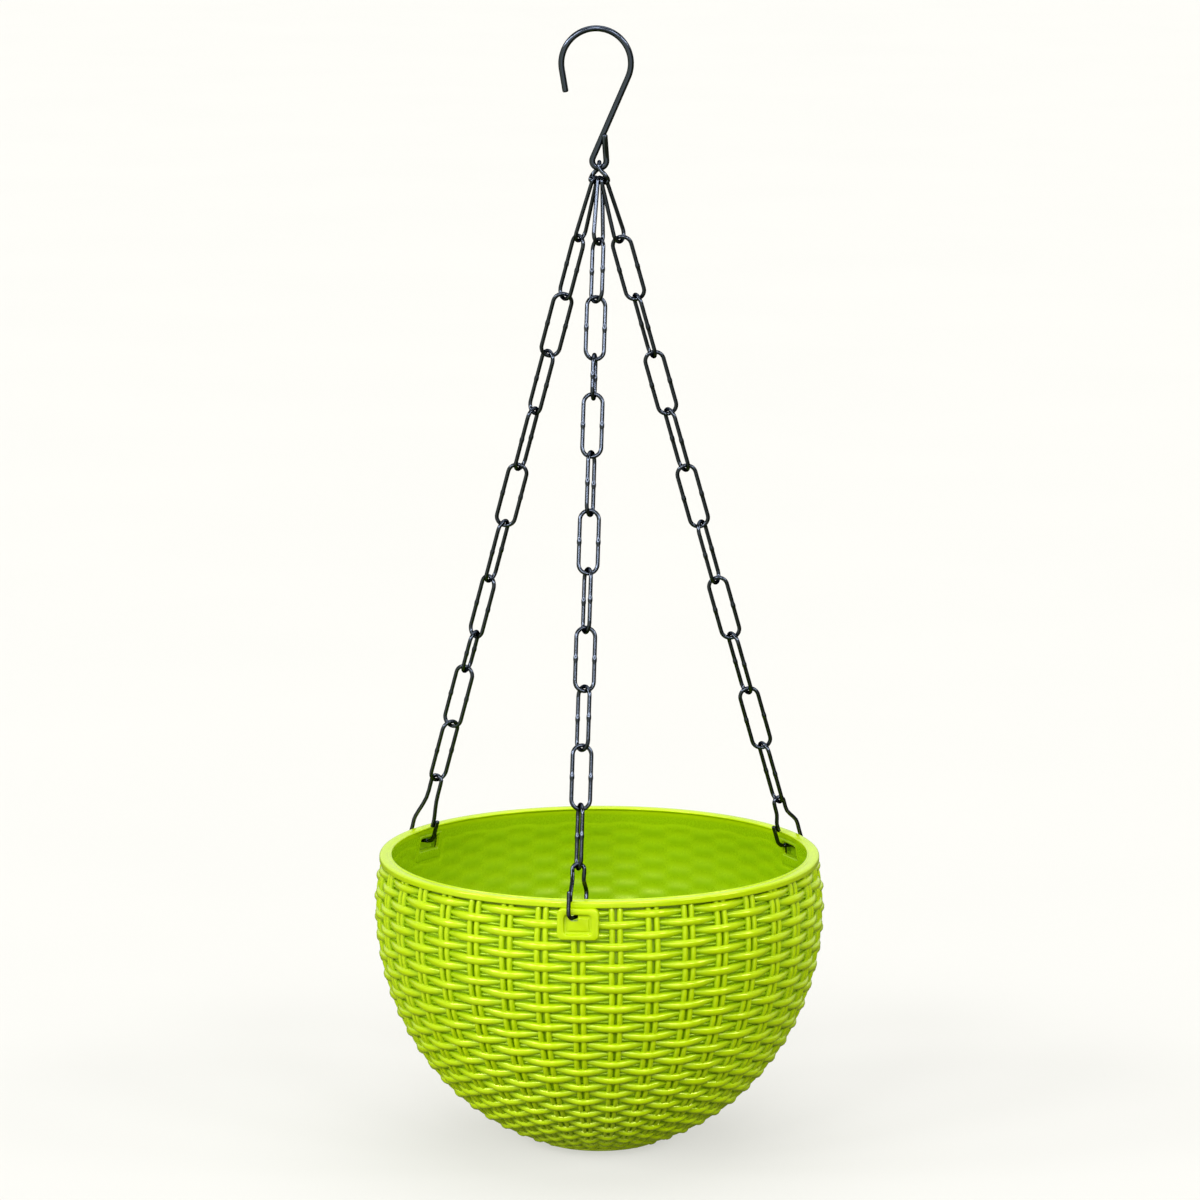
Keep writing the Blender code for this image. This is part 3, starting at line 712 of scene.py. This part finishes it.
def lug_slots():
    """The slots above the panels, where the chains' hooks go through."""
    skin = Skin()
    size = (SLOT_WIDTH, RECESS_TOP - SLOT_RISE, SLOT_HEIGHT, SLOT_CORNER)
    for name in CHAIN_NAMES:
        azimuth = LUG_AZIMUTHS_DEG[name]
        along = direction(azimuth + 90) * slot_middle(name)
        rows = []
        for distance in (PANEL_FACE - PANEL_THICKNESS - SLOT_OVERRUN, PANEL_FACE + RECESS_DEPTH * 0.6):
            outline = rounded_rectangle(azimuth, distance, *size)
            rows.append([tuple(Vector(point) + along) for point in outline])
        skin.patch(rows, round_rows=True, cap_first=True, cap_last=True)
    return skin.to_object("lug_slots")


def drain_holes():
    skin = Skin()
    for index in range(DRAIN_HOLE_COUNT):
        place = direction(DRAIN_AZIMUTH_DEG + 360 * index / DRAIN_HOLE_COUNT) * DRAIN_CIRCLE_DIAMETER / 2
        rows = []
        for height in (FOOT_Z - CUT_OVERRUN, FOOT_Z + FLOOR + CUT_OVERRUN):
            circle = arc((place.x, place.y), DRAIN_HOLE_DIAMETER / 2, 0, 337.5, 22.5)
            rows.append([(x, y, height) for x, y in circle])
        skin.patch(rows, round_rows=True, cap_first=True, cap_last=True)
    return skin.to_object("drain_holes")


# Woven relief

def pair_azimuth(pair):
    return radians(LUG_AZIMUTHS_DEG["front"]) + 2 * pi * pair / STAKE_PAIRS


def row_runs():
    rows = int((SIDE_LENGTH - FIRST_ROW) / ROW_PITCH) + 1
    return [FIRST_ROW + ROW_PITCH * row for row in range(rows)]


def narrowing(run):
    """How far the strands thin where the pairs crowd together, towards the foot."""
    point, _ = side_at(run)
    return sqrt(point.x / BELLY_RADIUS)


def add_stakes(skin, wander):
    count = ceil(SIDE_LENGTH / STAKE_STEP)
    angles = [blend(-105, 105, i / (STRAND_SIDES - 1)) for i in range(STRAND_SIDES)]
    for pair in range(STAKE_PAIRS):
        for hand in (-1, 1):
            phase = wander.uniform(0, 2 * pi)
            rows = []
            for step in range(count + 1):
                run = SIDE_LENGTH * step / count
                point, _ = side_at(run)
                thin = narrowing(run)
                width = STAKE_WIDTH * thin
                aside = hand * (STAKE_WIDTH + STAKE_GAP * thin) * thin / 2
                aside += WANDER * sin(run / ROW_PITCH * 0.9 + phase)
                weave = cos(pi * ((run - FIRST_ROW) / ROW_PITCH + pair))
                sink = STAKE_SINK + STAKE_BULGE * weave
                row = []
                for angle in angles:
                    s = aside + width / 2 * sin(radians(angle))
                    down = sink + STAKE_DEPTH * (1 - cos(radians(angle)))
                    down = min(down, inner_sink(run) - SKIN_LEFT)
                    row.append(on_side(pair_azimuth(pair) + s / point.x, run, down))
                rows.append(row)
            skin.patch(rows)


def add_weavers(skin, wander):
    angles = [blend(-104, 104, i / (STRAND_SIDES - 1)) for i in range(STRAND_SIDES)]
    for row_number, run in enumerate(row_runs()):
        for pair in range(row_number % 2, STAKE_PAIRS, 2):
            lift = wander.uniform(-1, 1) * WANDER
            tilt = wander.uniform(-1, 1) * WANDER * 1.5
            swell = 1 + wander.uniform(-0.06, 0.06)
            reach = WEAVER_REACH_DEG + wander.uniform(-5, 5)
            rows = []
            for step in range(WEAVER_STEPS + 1):
                share = step / WEAVER_STEPS * 2 - 1
                turn = radians(reach * share)
                azimuth = pair_azimuth(pair) + share * reach / 180 * 2 * pi / STAKE_PAIRS
                dive = WEAVER_DIVE / 2 * (1 - cos(turn))
                slim = blend(1, WEAVER_TIP_SHARE, abs(share) ** WEAVER_TIP_POWER)
                half = WEAVER_WIDTH / 2 * swell * slim * (0.75 + 0.25 * narrowing(run))
                sag = WEAVER_SAG * (0.3 - share ** 2)
                row = []
                for angle in angles:
                    t = run + lift + sag + tilt * share + half * sin(radians(angle))
                    down = dive + WEAVER_DEPTH * (1 - cos(radians(angle)))
                    row.append(on_side(azimuth, t, min(down, inner_sink(t) - SKIN_LEFT)))
                rows.append(row)
            skin.patch(rows)
            for hand in (-1, 1):
                add_sliver(skin, pair_azimuth(pair), run + lift, hand)


def add_sliver(skin, azimuth, run, hand):
    """The thin strand that shows below one half of a weaver."""
    angles = (-100, -45, 0, 45, 100)
    rows = []
    for step in range(SLIVER_STEPS + 1):
        share = step / SLIVER_STEPS
        turn = hand * blend(*SLIVER_SHARES, share) * 2 * pi / STAKE_PAIRS
        sink = blend(*SLIVER_SINKS, share)
        radius = SLIVER_RADIUS * blend(0.55, 1, smooth_step(share * 3)) * narrowing(run)
        row = []
        for angle in angles:
            t = run + blend(*SLIVER_DROPS, share) * narrowing(run) + radius * sin(radians(angle))
            down = sink + radius * (1 - cos(radians(angle)))
            row.append(on_side(azimuth + turn, t, min(down, inner_sink(t) - SKIN_LEFT)))
        rows.append(row)
    skin.patch(rows)


def under_a_lug(point):
    """True inside a lug's outline, where the pad stands in place of the weave."""
    margin = LUG_MARGIN
    for azimuth in LUG_AZIMUTHS_DEG.values():
        s = point.dot(direction(azimuth + 90))
        depth = RIM_Z - point.z
        beside = abs(s) > LUG_WIDTH / 2 - margin or point.dot(direction(azimuth)) < 0
        above_or_below = depth < LUG_TOP + margin or depth > LUG_TOP + LUG_HEIGHT - margin
        if not beside and not above_or_below:
            return True
    return False


def beside_a_lug(azimuth, depth):
    """How far a place on the wall lies outside the nearest lug's outline; under zero inside it."""
    distance = BELLY_RADIUS
    for lug_azimuth in LUG_AZIMUTHS_DEG.values():
        turn = (azimuth - radians(lug_azimuth) + pi) % (2 * pi) - pi
        aside = abs(turn) * RIM_RADIUS - LUG_WIDTH / 2
        distance = min(distance, max(aside, LUG_TOP - depth, depth - LUG_TOP - LUG_HEIGHT))
    return distance


def inside_relief():
    """The soft print of the weave on the inner wall, left out behind the lugs."""
    skin = Skin()
    count = ceil(SIDE_LENGTH / INSIDE_STEP)
    rows = []
    for step in range(count + 1):
        run = SIDE_LENGTH * step / count
        point, _ = side_at(run)
        row_wave = cos(pi * run / INSIDE_PITCH)
        ends = smooth_step(run / ROW_PITCH - 0.3) * smooth_step((SIDE_LENGTH - run) / ROW_PITCH - 1)
        row = []
        for turn in range(INSIDE_TURNS):
            azimuth = 2 * pi * turn / INSIDE_TURNS
            pair = azimuth / (2 * pi) * INSIDE_PAIRS
            pair_wave = cos(pi * pair) * 1.4 / (abs(cos(pi * pair)) + 0.4)
            stake_line = max(0.0, 1 - abs(abs(pair - round(pair)) - 0.2) * 10)
            raised = INSIDE_RELIEF * (1.4 + 0.9 * pair_wave * row_wave + 0.5 * stake_line)
            clear = smooth_step(beside_a_lug(azimuth, -point.y) / ROW_PITCH * 2) * ends
            sink = inner_sink(run) + blend(-INSIDE_RELIEF, raised, clear)
            row.append(on_side(azimuth, run, sink))
        rows.append(row)
    skin.patch(rows, round_rows=True)
    skin.drop(in_a_pocket)
    for azimuth in LUG_AZIMUTHS_DEG.values():
        add_lug_back(skin, radians(azimuth))
    return skin


def add_lug_back(skin, azimuth):
    """A plate behind a lug, with a crisp chamfer round the pocket's window."""
    end = LUG_TOP + LUG_HEIGHT
    plate_top = RIM_HEIGHT / 2

    def ring(width, top, height, corner, sink):
        rows = []
        for s, t in box_outline(width, top, height, corner):
            depth = max(-t, RIM_HEIGHT)
            raised = blend(*BACK_RAISES, (depth - RIM_HEIGHT) / (end - RIM_HEIGHT)) - sink
            turn = azimuth + asin(s / RIM_RADIUS)
            run = depth - RIM_HEIGHT
            drop = RIM_Z - depth - on_side(turn, run, inner_sink(depth) + raised)[2]
            rows.append(on_side(turn, run - drop, inner_sink(depth) + raised))
        return rows

    wider = 2 * WINDOW_CHAMFER
    rim = (POCKET_WIDTH + wider, RECESS_TOP - WINDOW_CHAMFER, POCKET_HEIGHT + wider)
    window = ring(POCKET_WIDTH, RECESS_TOP, POCKET_HEIGHT, WINDOW_CORNER, WINDOW_CHAMFER)
    frame_ring = ring(*rim, WINDOW_CORNER, 0)
    skin.patch([window, frame_ring], round_rows=True)
    plate = [frame_ring]
    edge = ((BACK_EDGE, 0), (BACK_EDGE / 3, BACK_EDGE / 4), (0, BACK_EDGE), (-BACK_EDGE / 2, 3 * BACK_EDGE))
    for inset, sink in edge:
        plate.append(ring(LUG_WIDTH - 2 * inset, plate_top, end - plate_top - inset, BACK_CORNER, sink))
    skin.patch(plate, round_rows=True)


def in_a_pocket(point):
    """True in front of a pocket's mouth."""
    depth = RIM_Z - point.z
    for azimuth in LUG_AZIMUTHS_DEG.values():
        beside = abs(point.dot(direction(azimuth + 90))) > POCKET_WIDTH / 2 + SKIN_LEFT
        below = depth >= RECESS_TOP + POCKET_HEIGHT + SKIN_LEFT
        if point.dot(direction(azimuth)) > 0 and not beside and not below:
            return True
    return False


def make_bowl(material):
    skin = Skin()
    skin.patch(turned_rows(shell_profile(), SHELL_TURNS), round_rows=True, cap_first=True, cap_last=True)
    shell = skin.to_object("bowl_shell")
    apply_boolean(shell, lug_pads(), "UNION")
    apply_boolean(shell, lug_pockets(), "DIFFERENCE")
    apply_boolean(shell, lug_slots(), "DIFFERENCE")
    apply_boolean(shell, drain_holes(), "DIFFERENCE")
    shell.data.shade_smooth()
    shell.data.set_sharp_from_angle(angle=radians(SHARP_ANGLE_DEG))
    wander = random.Random(WANDER_SEED)
    weave = Skin()
    add_stakes(weave, wander)
    add_weavers(weave, wander)
    weave.drop(under_a_lug)
    relief = weave.to_object("woven_relief")
    inside = inside_relief().to_object("inside_print")
    # Painted shade for the weave's hollows, the pockets and the inside
    add_painted_shades(shell, outside_painted_shade)
    add_painted_shades(relief, outside_painted_shade)
    add_painted_shades(inside, inside_painted_shade)
    for obj in (shell, relief, inside):
        obj.data.materials.clear()
        obj.data.materials.append(material)
        for polygon in obj.data.polygons:
            polygon.material_index = 0
        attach(obj, "basket")
        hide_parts("bowl")


# Wires

def through(points, closed, steps):
    """More points on a smooth curve through the given ones."""
    count = len(points)
    result = []
    spans = count if closed else count - 1
    for i in range(spans):
        if closed:
            a, b, c, d = (Vector(points[(i + k) % count]) for k in (-1, 0, 1, 2))
        else:
            a, b, c, d = (Vector(points[min(max(i + k, 0), count - 1)]) for k in (-1, 0, 1, 2))
        for step in range(steps):
            u = step / steps
            result.append(((2 * b) + (c - a) * u + (2 * a - 5 * b + 4 * c - d) * u ** 2
                           + (3 * b - a - 3 * c + d) * u ** 3) / 2)
    if not closed:
        result.append(Vector(points[-1]))
    return result


def new_wire(name, points, diameter, closed, material, swells=None):
    curve = bpy.data.curves.new(name, "CURVE")
    curve.dimensions = "3D"
    curve.bevel_depth = diameter / 2
    curve.bevel_resolution = 4
    curve.use_fill_caps = True
    spline = curve.splines.new("POLY")
    spline.points.add(len(points) - 1)
    for index, (target, point) in enumerate(zip(spline.points, points)):
        target.co = (point[0], point[1], point[2], 1)
        target.radius = swells[index] if swells else 1
    spline.use_cyclic_u = closed
    spline.use_smooth = True
    curve.materials.append(material)
    obj = bpy.data.objects.new(name, curve)
    bpy.context.scene.collection.objects.link(obj)
    return obj


def cut_ends(points, diameter):
    """Points and radii of a wire whose two cut ends are slightly rounded."""
    first = (points[0] - points[1]).normalized()
    last = (points[-1] - points[-2]).normalized()
    path = [points[0] - first * diameter * run for run, _ in CUT_END_SHARES] + points[1:-1]
    path += [points[-1] - last * diameter * run for run, _ in reversed(CUT_END_SHARES)]
    sizes = [size for _, size in CUT_END_SHARES]
    swells = sizes + [1.0] * (len(points) - 2) + sizes[::-1]
    return path, swells


def finish_wire(obj, node, body):
    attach(obj, body)
    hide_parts(node)


def link_frame(node, body):
    """Middle, axes and length of a chain link, read from its CAD node."""
    joint = JOINTS[body]
    middle = Vector(joint["pos_m"])
    up = Vector(joint["axis"]).normalized()
    across = (Vector((1, 0, 0)) - up * up.x).normalized()
    away = up.cross(across)
    spread = [vertex.co - middle for vertex in NODES[node].data.vertices]
    length = 2 * max(up.dot(p) for p in spread) + CHAIN_WIRE * (1 - cos(pi / CAD_WIRE_SIDES))
    xx = sum(across.dot(p) ** 2 for p in spread)
    yy = sum(away.dot(p) ** 2 for p in spread)
    xy = sum(across.dot(p) * away.dot(p) for p in spread)
    roll = atan2(2 * xy, xx - yy) / 2
    wide = across * cos(roll) + away * sin(roll)
    return middle, up, wide, length


def make_link(node, body, material):
    """A long oval, with a small weld swelling in the middle of each side."""
    middle, up, wide, length = link_frame(node, body)
    reach = (length - CHAIN_WIRE) / 2 - LINK_BEND
    leg = [(0.94 * reach, 1.0), (1.7 * WELD_LENGTH, 1.0), (WELD_LENGTH, 1.0), (WELD_LENGTH / 2, WELD_SWELL)]
    leg += [(0, WELD_SWELL * 1.02)] + [(-t, r) for t, r in reversed(leg)]
    outline = [(s, t, 1.0) for s, t in arc((0, reach), LINK_BEND, 0, 180, 12)]
    outline += [(-LINK_BEND, t, r) for t, r in leg]
    outline += [(s, t, 1.0) for s, t in arc((0, -reach), LINK_BEND, 180, 360, 12)]
    outline += [(LINK_BEND, -t, r) for t, r in leg]
    points = [middle + wide * s + up * t for s, t, _ in outline]
    swells = [r for _, _, r in outline]
    obj = new_wire(node + "_wire", points, CHAIN_WIRE, True, material, swells)
    finish_wire(obj, node, body)


def make_top_link(name, material):
    joint = JOINTS[name + "_link_01"]
    up = Vector(joint["axis"]).normalized()
    first = Vector(joint["pos_m"])
    bar = first + up * ((RING_BAR_Z - first.z) / up.z)
    wide = up.cross(RING_BAR).normalized()
    bottom = CROWN_BEND - (TOP_LINK_LENGTH - CHAIN_WIRE)
    outline = arc((0, 0), CROWN_BEND, -TAPER_DEG, 180 + TAPER_DEG, 12)
    outline += arc((0, bottom + LINK_BEND), LINK_BEND, 180 - TAPER_DEG, 360 + TAPER_DEG, 12)
    points = [bar + wide * s + up * t for s, t in outline]
    node = name + "_chain_top_link"
    obj = new_wire(node + "_wire", points, CHAIN_WIRE, True, material)
    finish_wire(obj, node, "basket")


def end_hook_outline(name, slope):
    """A bell-shaped loop round the rim, its two ends lapped on one leg; X is out from the bowl."""
    reach = LUG_FACE - SEAT_RADIUS + GAP + CHAIN_WIRE / 2 + 2 * END_HOOK_PLAY
    half = reach / cos(radians(END_HOOK_TURNS_DEG[name]))
    crown = LINK_BEND * END_HOOK_CROWN_SHARE
    shoulder = END_HOOK_LENGTHS[name] - CHAIN_WIRE - crown
    tip_height = END_HOOK_TIP_HEIGHT
    rounding = END_HOOK_CORNERS[name]
    corner = arc((half - rounding, rounding), rounding, -90, 0, 15)
    low = (half * LEG_WIDTH_SHARES[0], blend(rounding, tip_height, LEG_HEIGHT_SHARES[0]))
    middle = (half * LEG_WIDTH_SHARES[1], blend(tip_height, shoulder, LEG_HEIGHT_SHARES[1]))
    high = (blend(crown, half, LEG_WIDTH_SHARES[2]), blend(tip_height, shoulder, LEG_HEIGHT_SHARES[2]))
    top = arc((0, shoulder), crown, 0, 180, 30)
    path = [(half, tip_height), low] + corner[::-1]
    path += [(-s, t) for s, t in corner + [low, middle, high] + top]
    path.append(high)
    lap_turn = radians(END_HOOK_LAP_TURNS_DEG[name])
    lap_end = half - LINK_OVERLAP * cos(lap_turn)
    lap_side = LINK_OVERLAP * sin(lap_turn)
    flip = 1 if name == "front" else -1
    placed = []
    for s, t in path:
        drop = slope * flip * s * (1 - smooth_step(t / shoulder))
        twist = radians(END_HOOK_TWISTS_DEG[name]) * smooth_step((t - tip_height) / (shoulder - tip_height))
        placed.append((flip * s * cos(twist), flip * s * sin(twist), t + drop))
    for t in (tip_height, tip_height - END_HOOK_LAP):
        placed.append((flip * lap_end, lap_side, t + slope * flip * lap_end))
    return placed


def make_end_hook(name, material):
    body = name + "_hook"
    joint = JOINTS[body]
    seat = Vector(joint["pos_m"])
    up = Vector(joint["axis"]).normalized()
    across = (Vector((1, 0, 0)) - up * up.x).normalized()
    away = up.cross(across)
    out = direction(LUG_AZIMUTHS_DEG[name])
    roll = atan2(out.dot(away), out.dot(across)) + radians(END_HOOK_TURNS_DEG[name])
    wide = across * cos(roll) + away * sin(roll)
    flat = up.cross(wide)
    outline = end_hook_outline(name, -wide.z / up.z)
    points = [seat + wide * s + flat * side + up * t for s, side, t in outline]
    path, swells = cut_ends(through(points, False, SMOOTH_STEPS), CHAIN_WIRE)
    node = name + "_chain_hook"
    obj = new_wire(node + "_wire", path, CHAIN_WIRE, False, material, swells)
    finish_wire(obj, node, body)


def make_ring(material):
    places = [0, CROWN_SPACINGS[0], CROWN_SPACINGS[0] + CROWN_SPACINGS[1]]
    half = places[-1] / 2 + CHAIN_WIRE / 2 + GAP + RING_WIRE / 2 - RING_CORNER / 4
    crown = RING_SPAN - RING_BEND
    side = arc((half - RING_CORNER, RING_CORNER), RING_CORNER, -90, 0, 30)
    side.append((half, crown * RING_SHOULDER_SHARE))
    side += arc((0, crown), RING_BEND, 0, 90, 22.5)
    outline = [(0, 0)] + side + [(-s, t) for s, t in reversed(side[:-1])]
    points = []
    for s, t in outline:
        twist = RING_TWIST_DEG * smooth_step((t - RING_CORNER) / (crown - RING_CORNER))
        along = direction(RING_BAR_AZIMUTH_DEG - twist)
        points.append(Vector((s * along.x, s * along.y, EYE_Z + t - crown)))
    obj = new_wire("joining_ring_wire", through(points, True, SMOOTH_STEPS), RING_WIRE, True, material)
    finish_wire(obj, "joining_ring", "ring")


def make_top_hook(material):
    bend = (-HOOK_SHIFT, HOOK_WIRE / 2 - HOOK_BEND)
    eye = (0, EYE_Z + EYE_BEND)
    across = (eye[0] - bend[0], eye[1] - bend[1])
    turn = degrees(asin((HOOK_BEND + EYE_BEND) / hypot(*across)) - atan2(across[0], -across[1]))
    points = arc(bend, HOOK_BEND, 180 + HOOK_TIP_LEAN_DEG, 180, 5)
    lean = radians(HOOK_TIP_LEAN_DEG)
    tip = (points[0][0] + HOOK_TIP_LENGTH * sin(lean), points[0][1] - HOOK_TIP_LENGTH * cos(lean))
    points = [tip] + points[:-1] + arc(bend, HOOK_BEND, 180, -turn, 5)
    points += arc(eye, EYE_BEND, 180 - turn, 360 + EYE_TAIL_LEAN_DEG, 12)
    path = [Vector((x, 0, z)) for x, z in points]
    lean = radians(EYE_TAIL_LEAN_DEG)
    start = points[-1]
    for step in range(1, TAIL_STEPS + 1):
        share = step / TAIL_STEPS
        run = EYE_TAIL_LENGTH * share
        aside = (HOOK_WIRE + GAP) * smooth_step(share)
        path.append(Vector((start[0] - run * sin(lean), -aside, start[1] + run * cos(lean))))
    path, swells = cut_ends(path, HOOK_WIRE)
    obj = new_wire("top_hook_wire", path, HOOK_WIRE, False, material, swells)
    finish_wire(obj, "top_hook", "hook")


# Studio

def sun_light(name, place_deg, strength, spread_deg):
    """A far soft light; its place is degrees right of the front and degrees up."""
    light = bpy.data.lights.new(name, "SUN")
    light.energy = strength
    light.angle = radians(spread_deg)
    obj = bpy.data.objects.new(name, light)
    turn, rise = radians(place_deg[0]), radians(place_deg[1])
    obj.location = (sin(turn) * cos(rise), -cos(turn) * cos(rise), sin(rise))
    obj.rotation_euler = obj.location.to_track_quat("Z", "Y").to_euler()
    bpy.context.scene.collection.objects.link(obj)


def make_sky():
    """Bright behind, dim in front and below, a pale wall at the left; the camera sees a plain backdrop."""
    world = bpy.data.worlds.new("studio_world")
    world.use_nodes = True
    nodes, links = world.node_tree.nodes, world.node_tree.links
    place = nodes.new("ShaderNodeTexCoord")
    parts = nodes.new("ShaderNodeSeparateXYZ")
    links.new(place.outputs["Generated"], parts.inputs["Vector"])
    depth = smooth_range(nodes, links, parts.outputs["Y"], SKY_DEPTH_EDGES)
    above = ramp_node(nodes, links, depth.outputs["Result"], 0, 1, (SKY_FRONT, SKY_BACK))
    height = smooth_range(nodes, links, parts.outputs["Z"], SKY_HEIGHT_EDGES)
    level = nodes.new("ShaderNodeMixRGB")
    level.inputs["Color1"].default_value = SKY_BELOW
    links.new(height.outputs["Result"], level.inputs["Fac"])
    links.new(above.outputs["Color"], level.inputs["Color2"])
    beside = nodes.new("ShaderNodeVectorMath")
    beside.operation = "DOT_PRODUCT"
    beside.inputs[1].default_value = direction(WALL_LIGHT_AZIMUTH_DEG)
    links.new(place.outputs["Generated"], beside.inputs[0])
    wall = smooth_range(nodes, links, beside.outputs["Value"], WALL_LIGHT_EDGES)
    lit = nodes.new("ShaderNodeMixRGB")
    lit.inputs["Color2"].default_value = WALL_LIGHT
    links.new(wall.outputs["Result"], lit.inputs["Fac"])
    links.new(level.outputs["Color"], lit.inputs["Color1"])
    seen = nodes.new("ShaderNodeMixRGB")
    seen.inputs["Color2"].default_value = BACKDROP
    ray = nodes.new("ShaderNodeLightPath")
    links.new(ray.outputs["Is Camera Ray"], seen.inputs["Fac"])
    links.new(lit.outputs["Color"], seen.inputs["Color1"])
    links.new(seen.outputs["Color"], nodes["Background"].inputs["Color"])
    bpy.context.scene.world = world


def make_studio():
    scene = bpy.context.scene
    scene.view_settings.view_transform = "Standard"
    size = FLOOR_REACH
    mesh = bpy.data.meshes.new("studio_floor")
    level = FOOT_Z - FLOOR_CLEARANCE
    corners = [(-size, -size, level), (size, -size, level), (size, size, level), (-size, size, level)]
    mesh.from_pydata(corners, [], [(0, 1, 2, 3)])
    mesh.materials.append(floor_material())
    floor = bpy.data.objects.new("studio_floor", mesh)
    floor.visible_diffuse = False
    floor.visible_glossy = False
    scene.collection.objects.link(floor)
    make_sky()
    for index, strength in enumerate(ROW_LIGHTS):
        turn = ROW_LIGHT_STEP_DEG * (index - (len(ROW_LIGHTS) - 1) / 2)
        sun_light("row_light_%d" % index, (turn, ROW_LIGHT_RISE_DEG), strength, ROW_LIGHT_SPREAD_DEG)
    sun_light("low_light", *LOW_LIGHT)
    sun_light("top_light", *TOP_LIGHT)


def make_camera():
    data = bpy.data.cameras.new("photo_camera")
    data.lens = CAMERA_LENS
    data.sensor_width = CAMERA_SENSOR
    data.clip_end = CAMERA_REACH
    camera = bpy.data.objects.new("photo_camera", data)
    camera.location = CAMERA_PLACE
    camera.rotation_euler = (radians(CAMERA_TILT_DEG), 0, 0)
    bpy.context.scene.collection.objects.link(camera)
    bpy.context.scene.camera = camera


def main():
    make_camera()
    make_studio()
    plastic = plastic_material()
    hook_steel = wire_material("black_hook_steel", *HOOK_COATING)
    chain_steel = wire_material("black_chain_steel", *CHAIN_COATING)
    make_bowl(plastic)
    make_top_hook(hook_steel)
    make_ring(hook_steel)
    for name in CHAIN_NAMES:
        make_top_link(name, chain_steel)
        make_end_hook(name, chain_steel)
    for body in JOINTS:
        if "_link_" in body:
            make_link(body.replace("_link_", "_chain_link_"), body, chain_steel)


main()
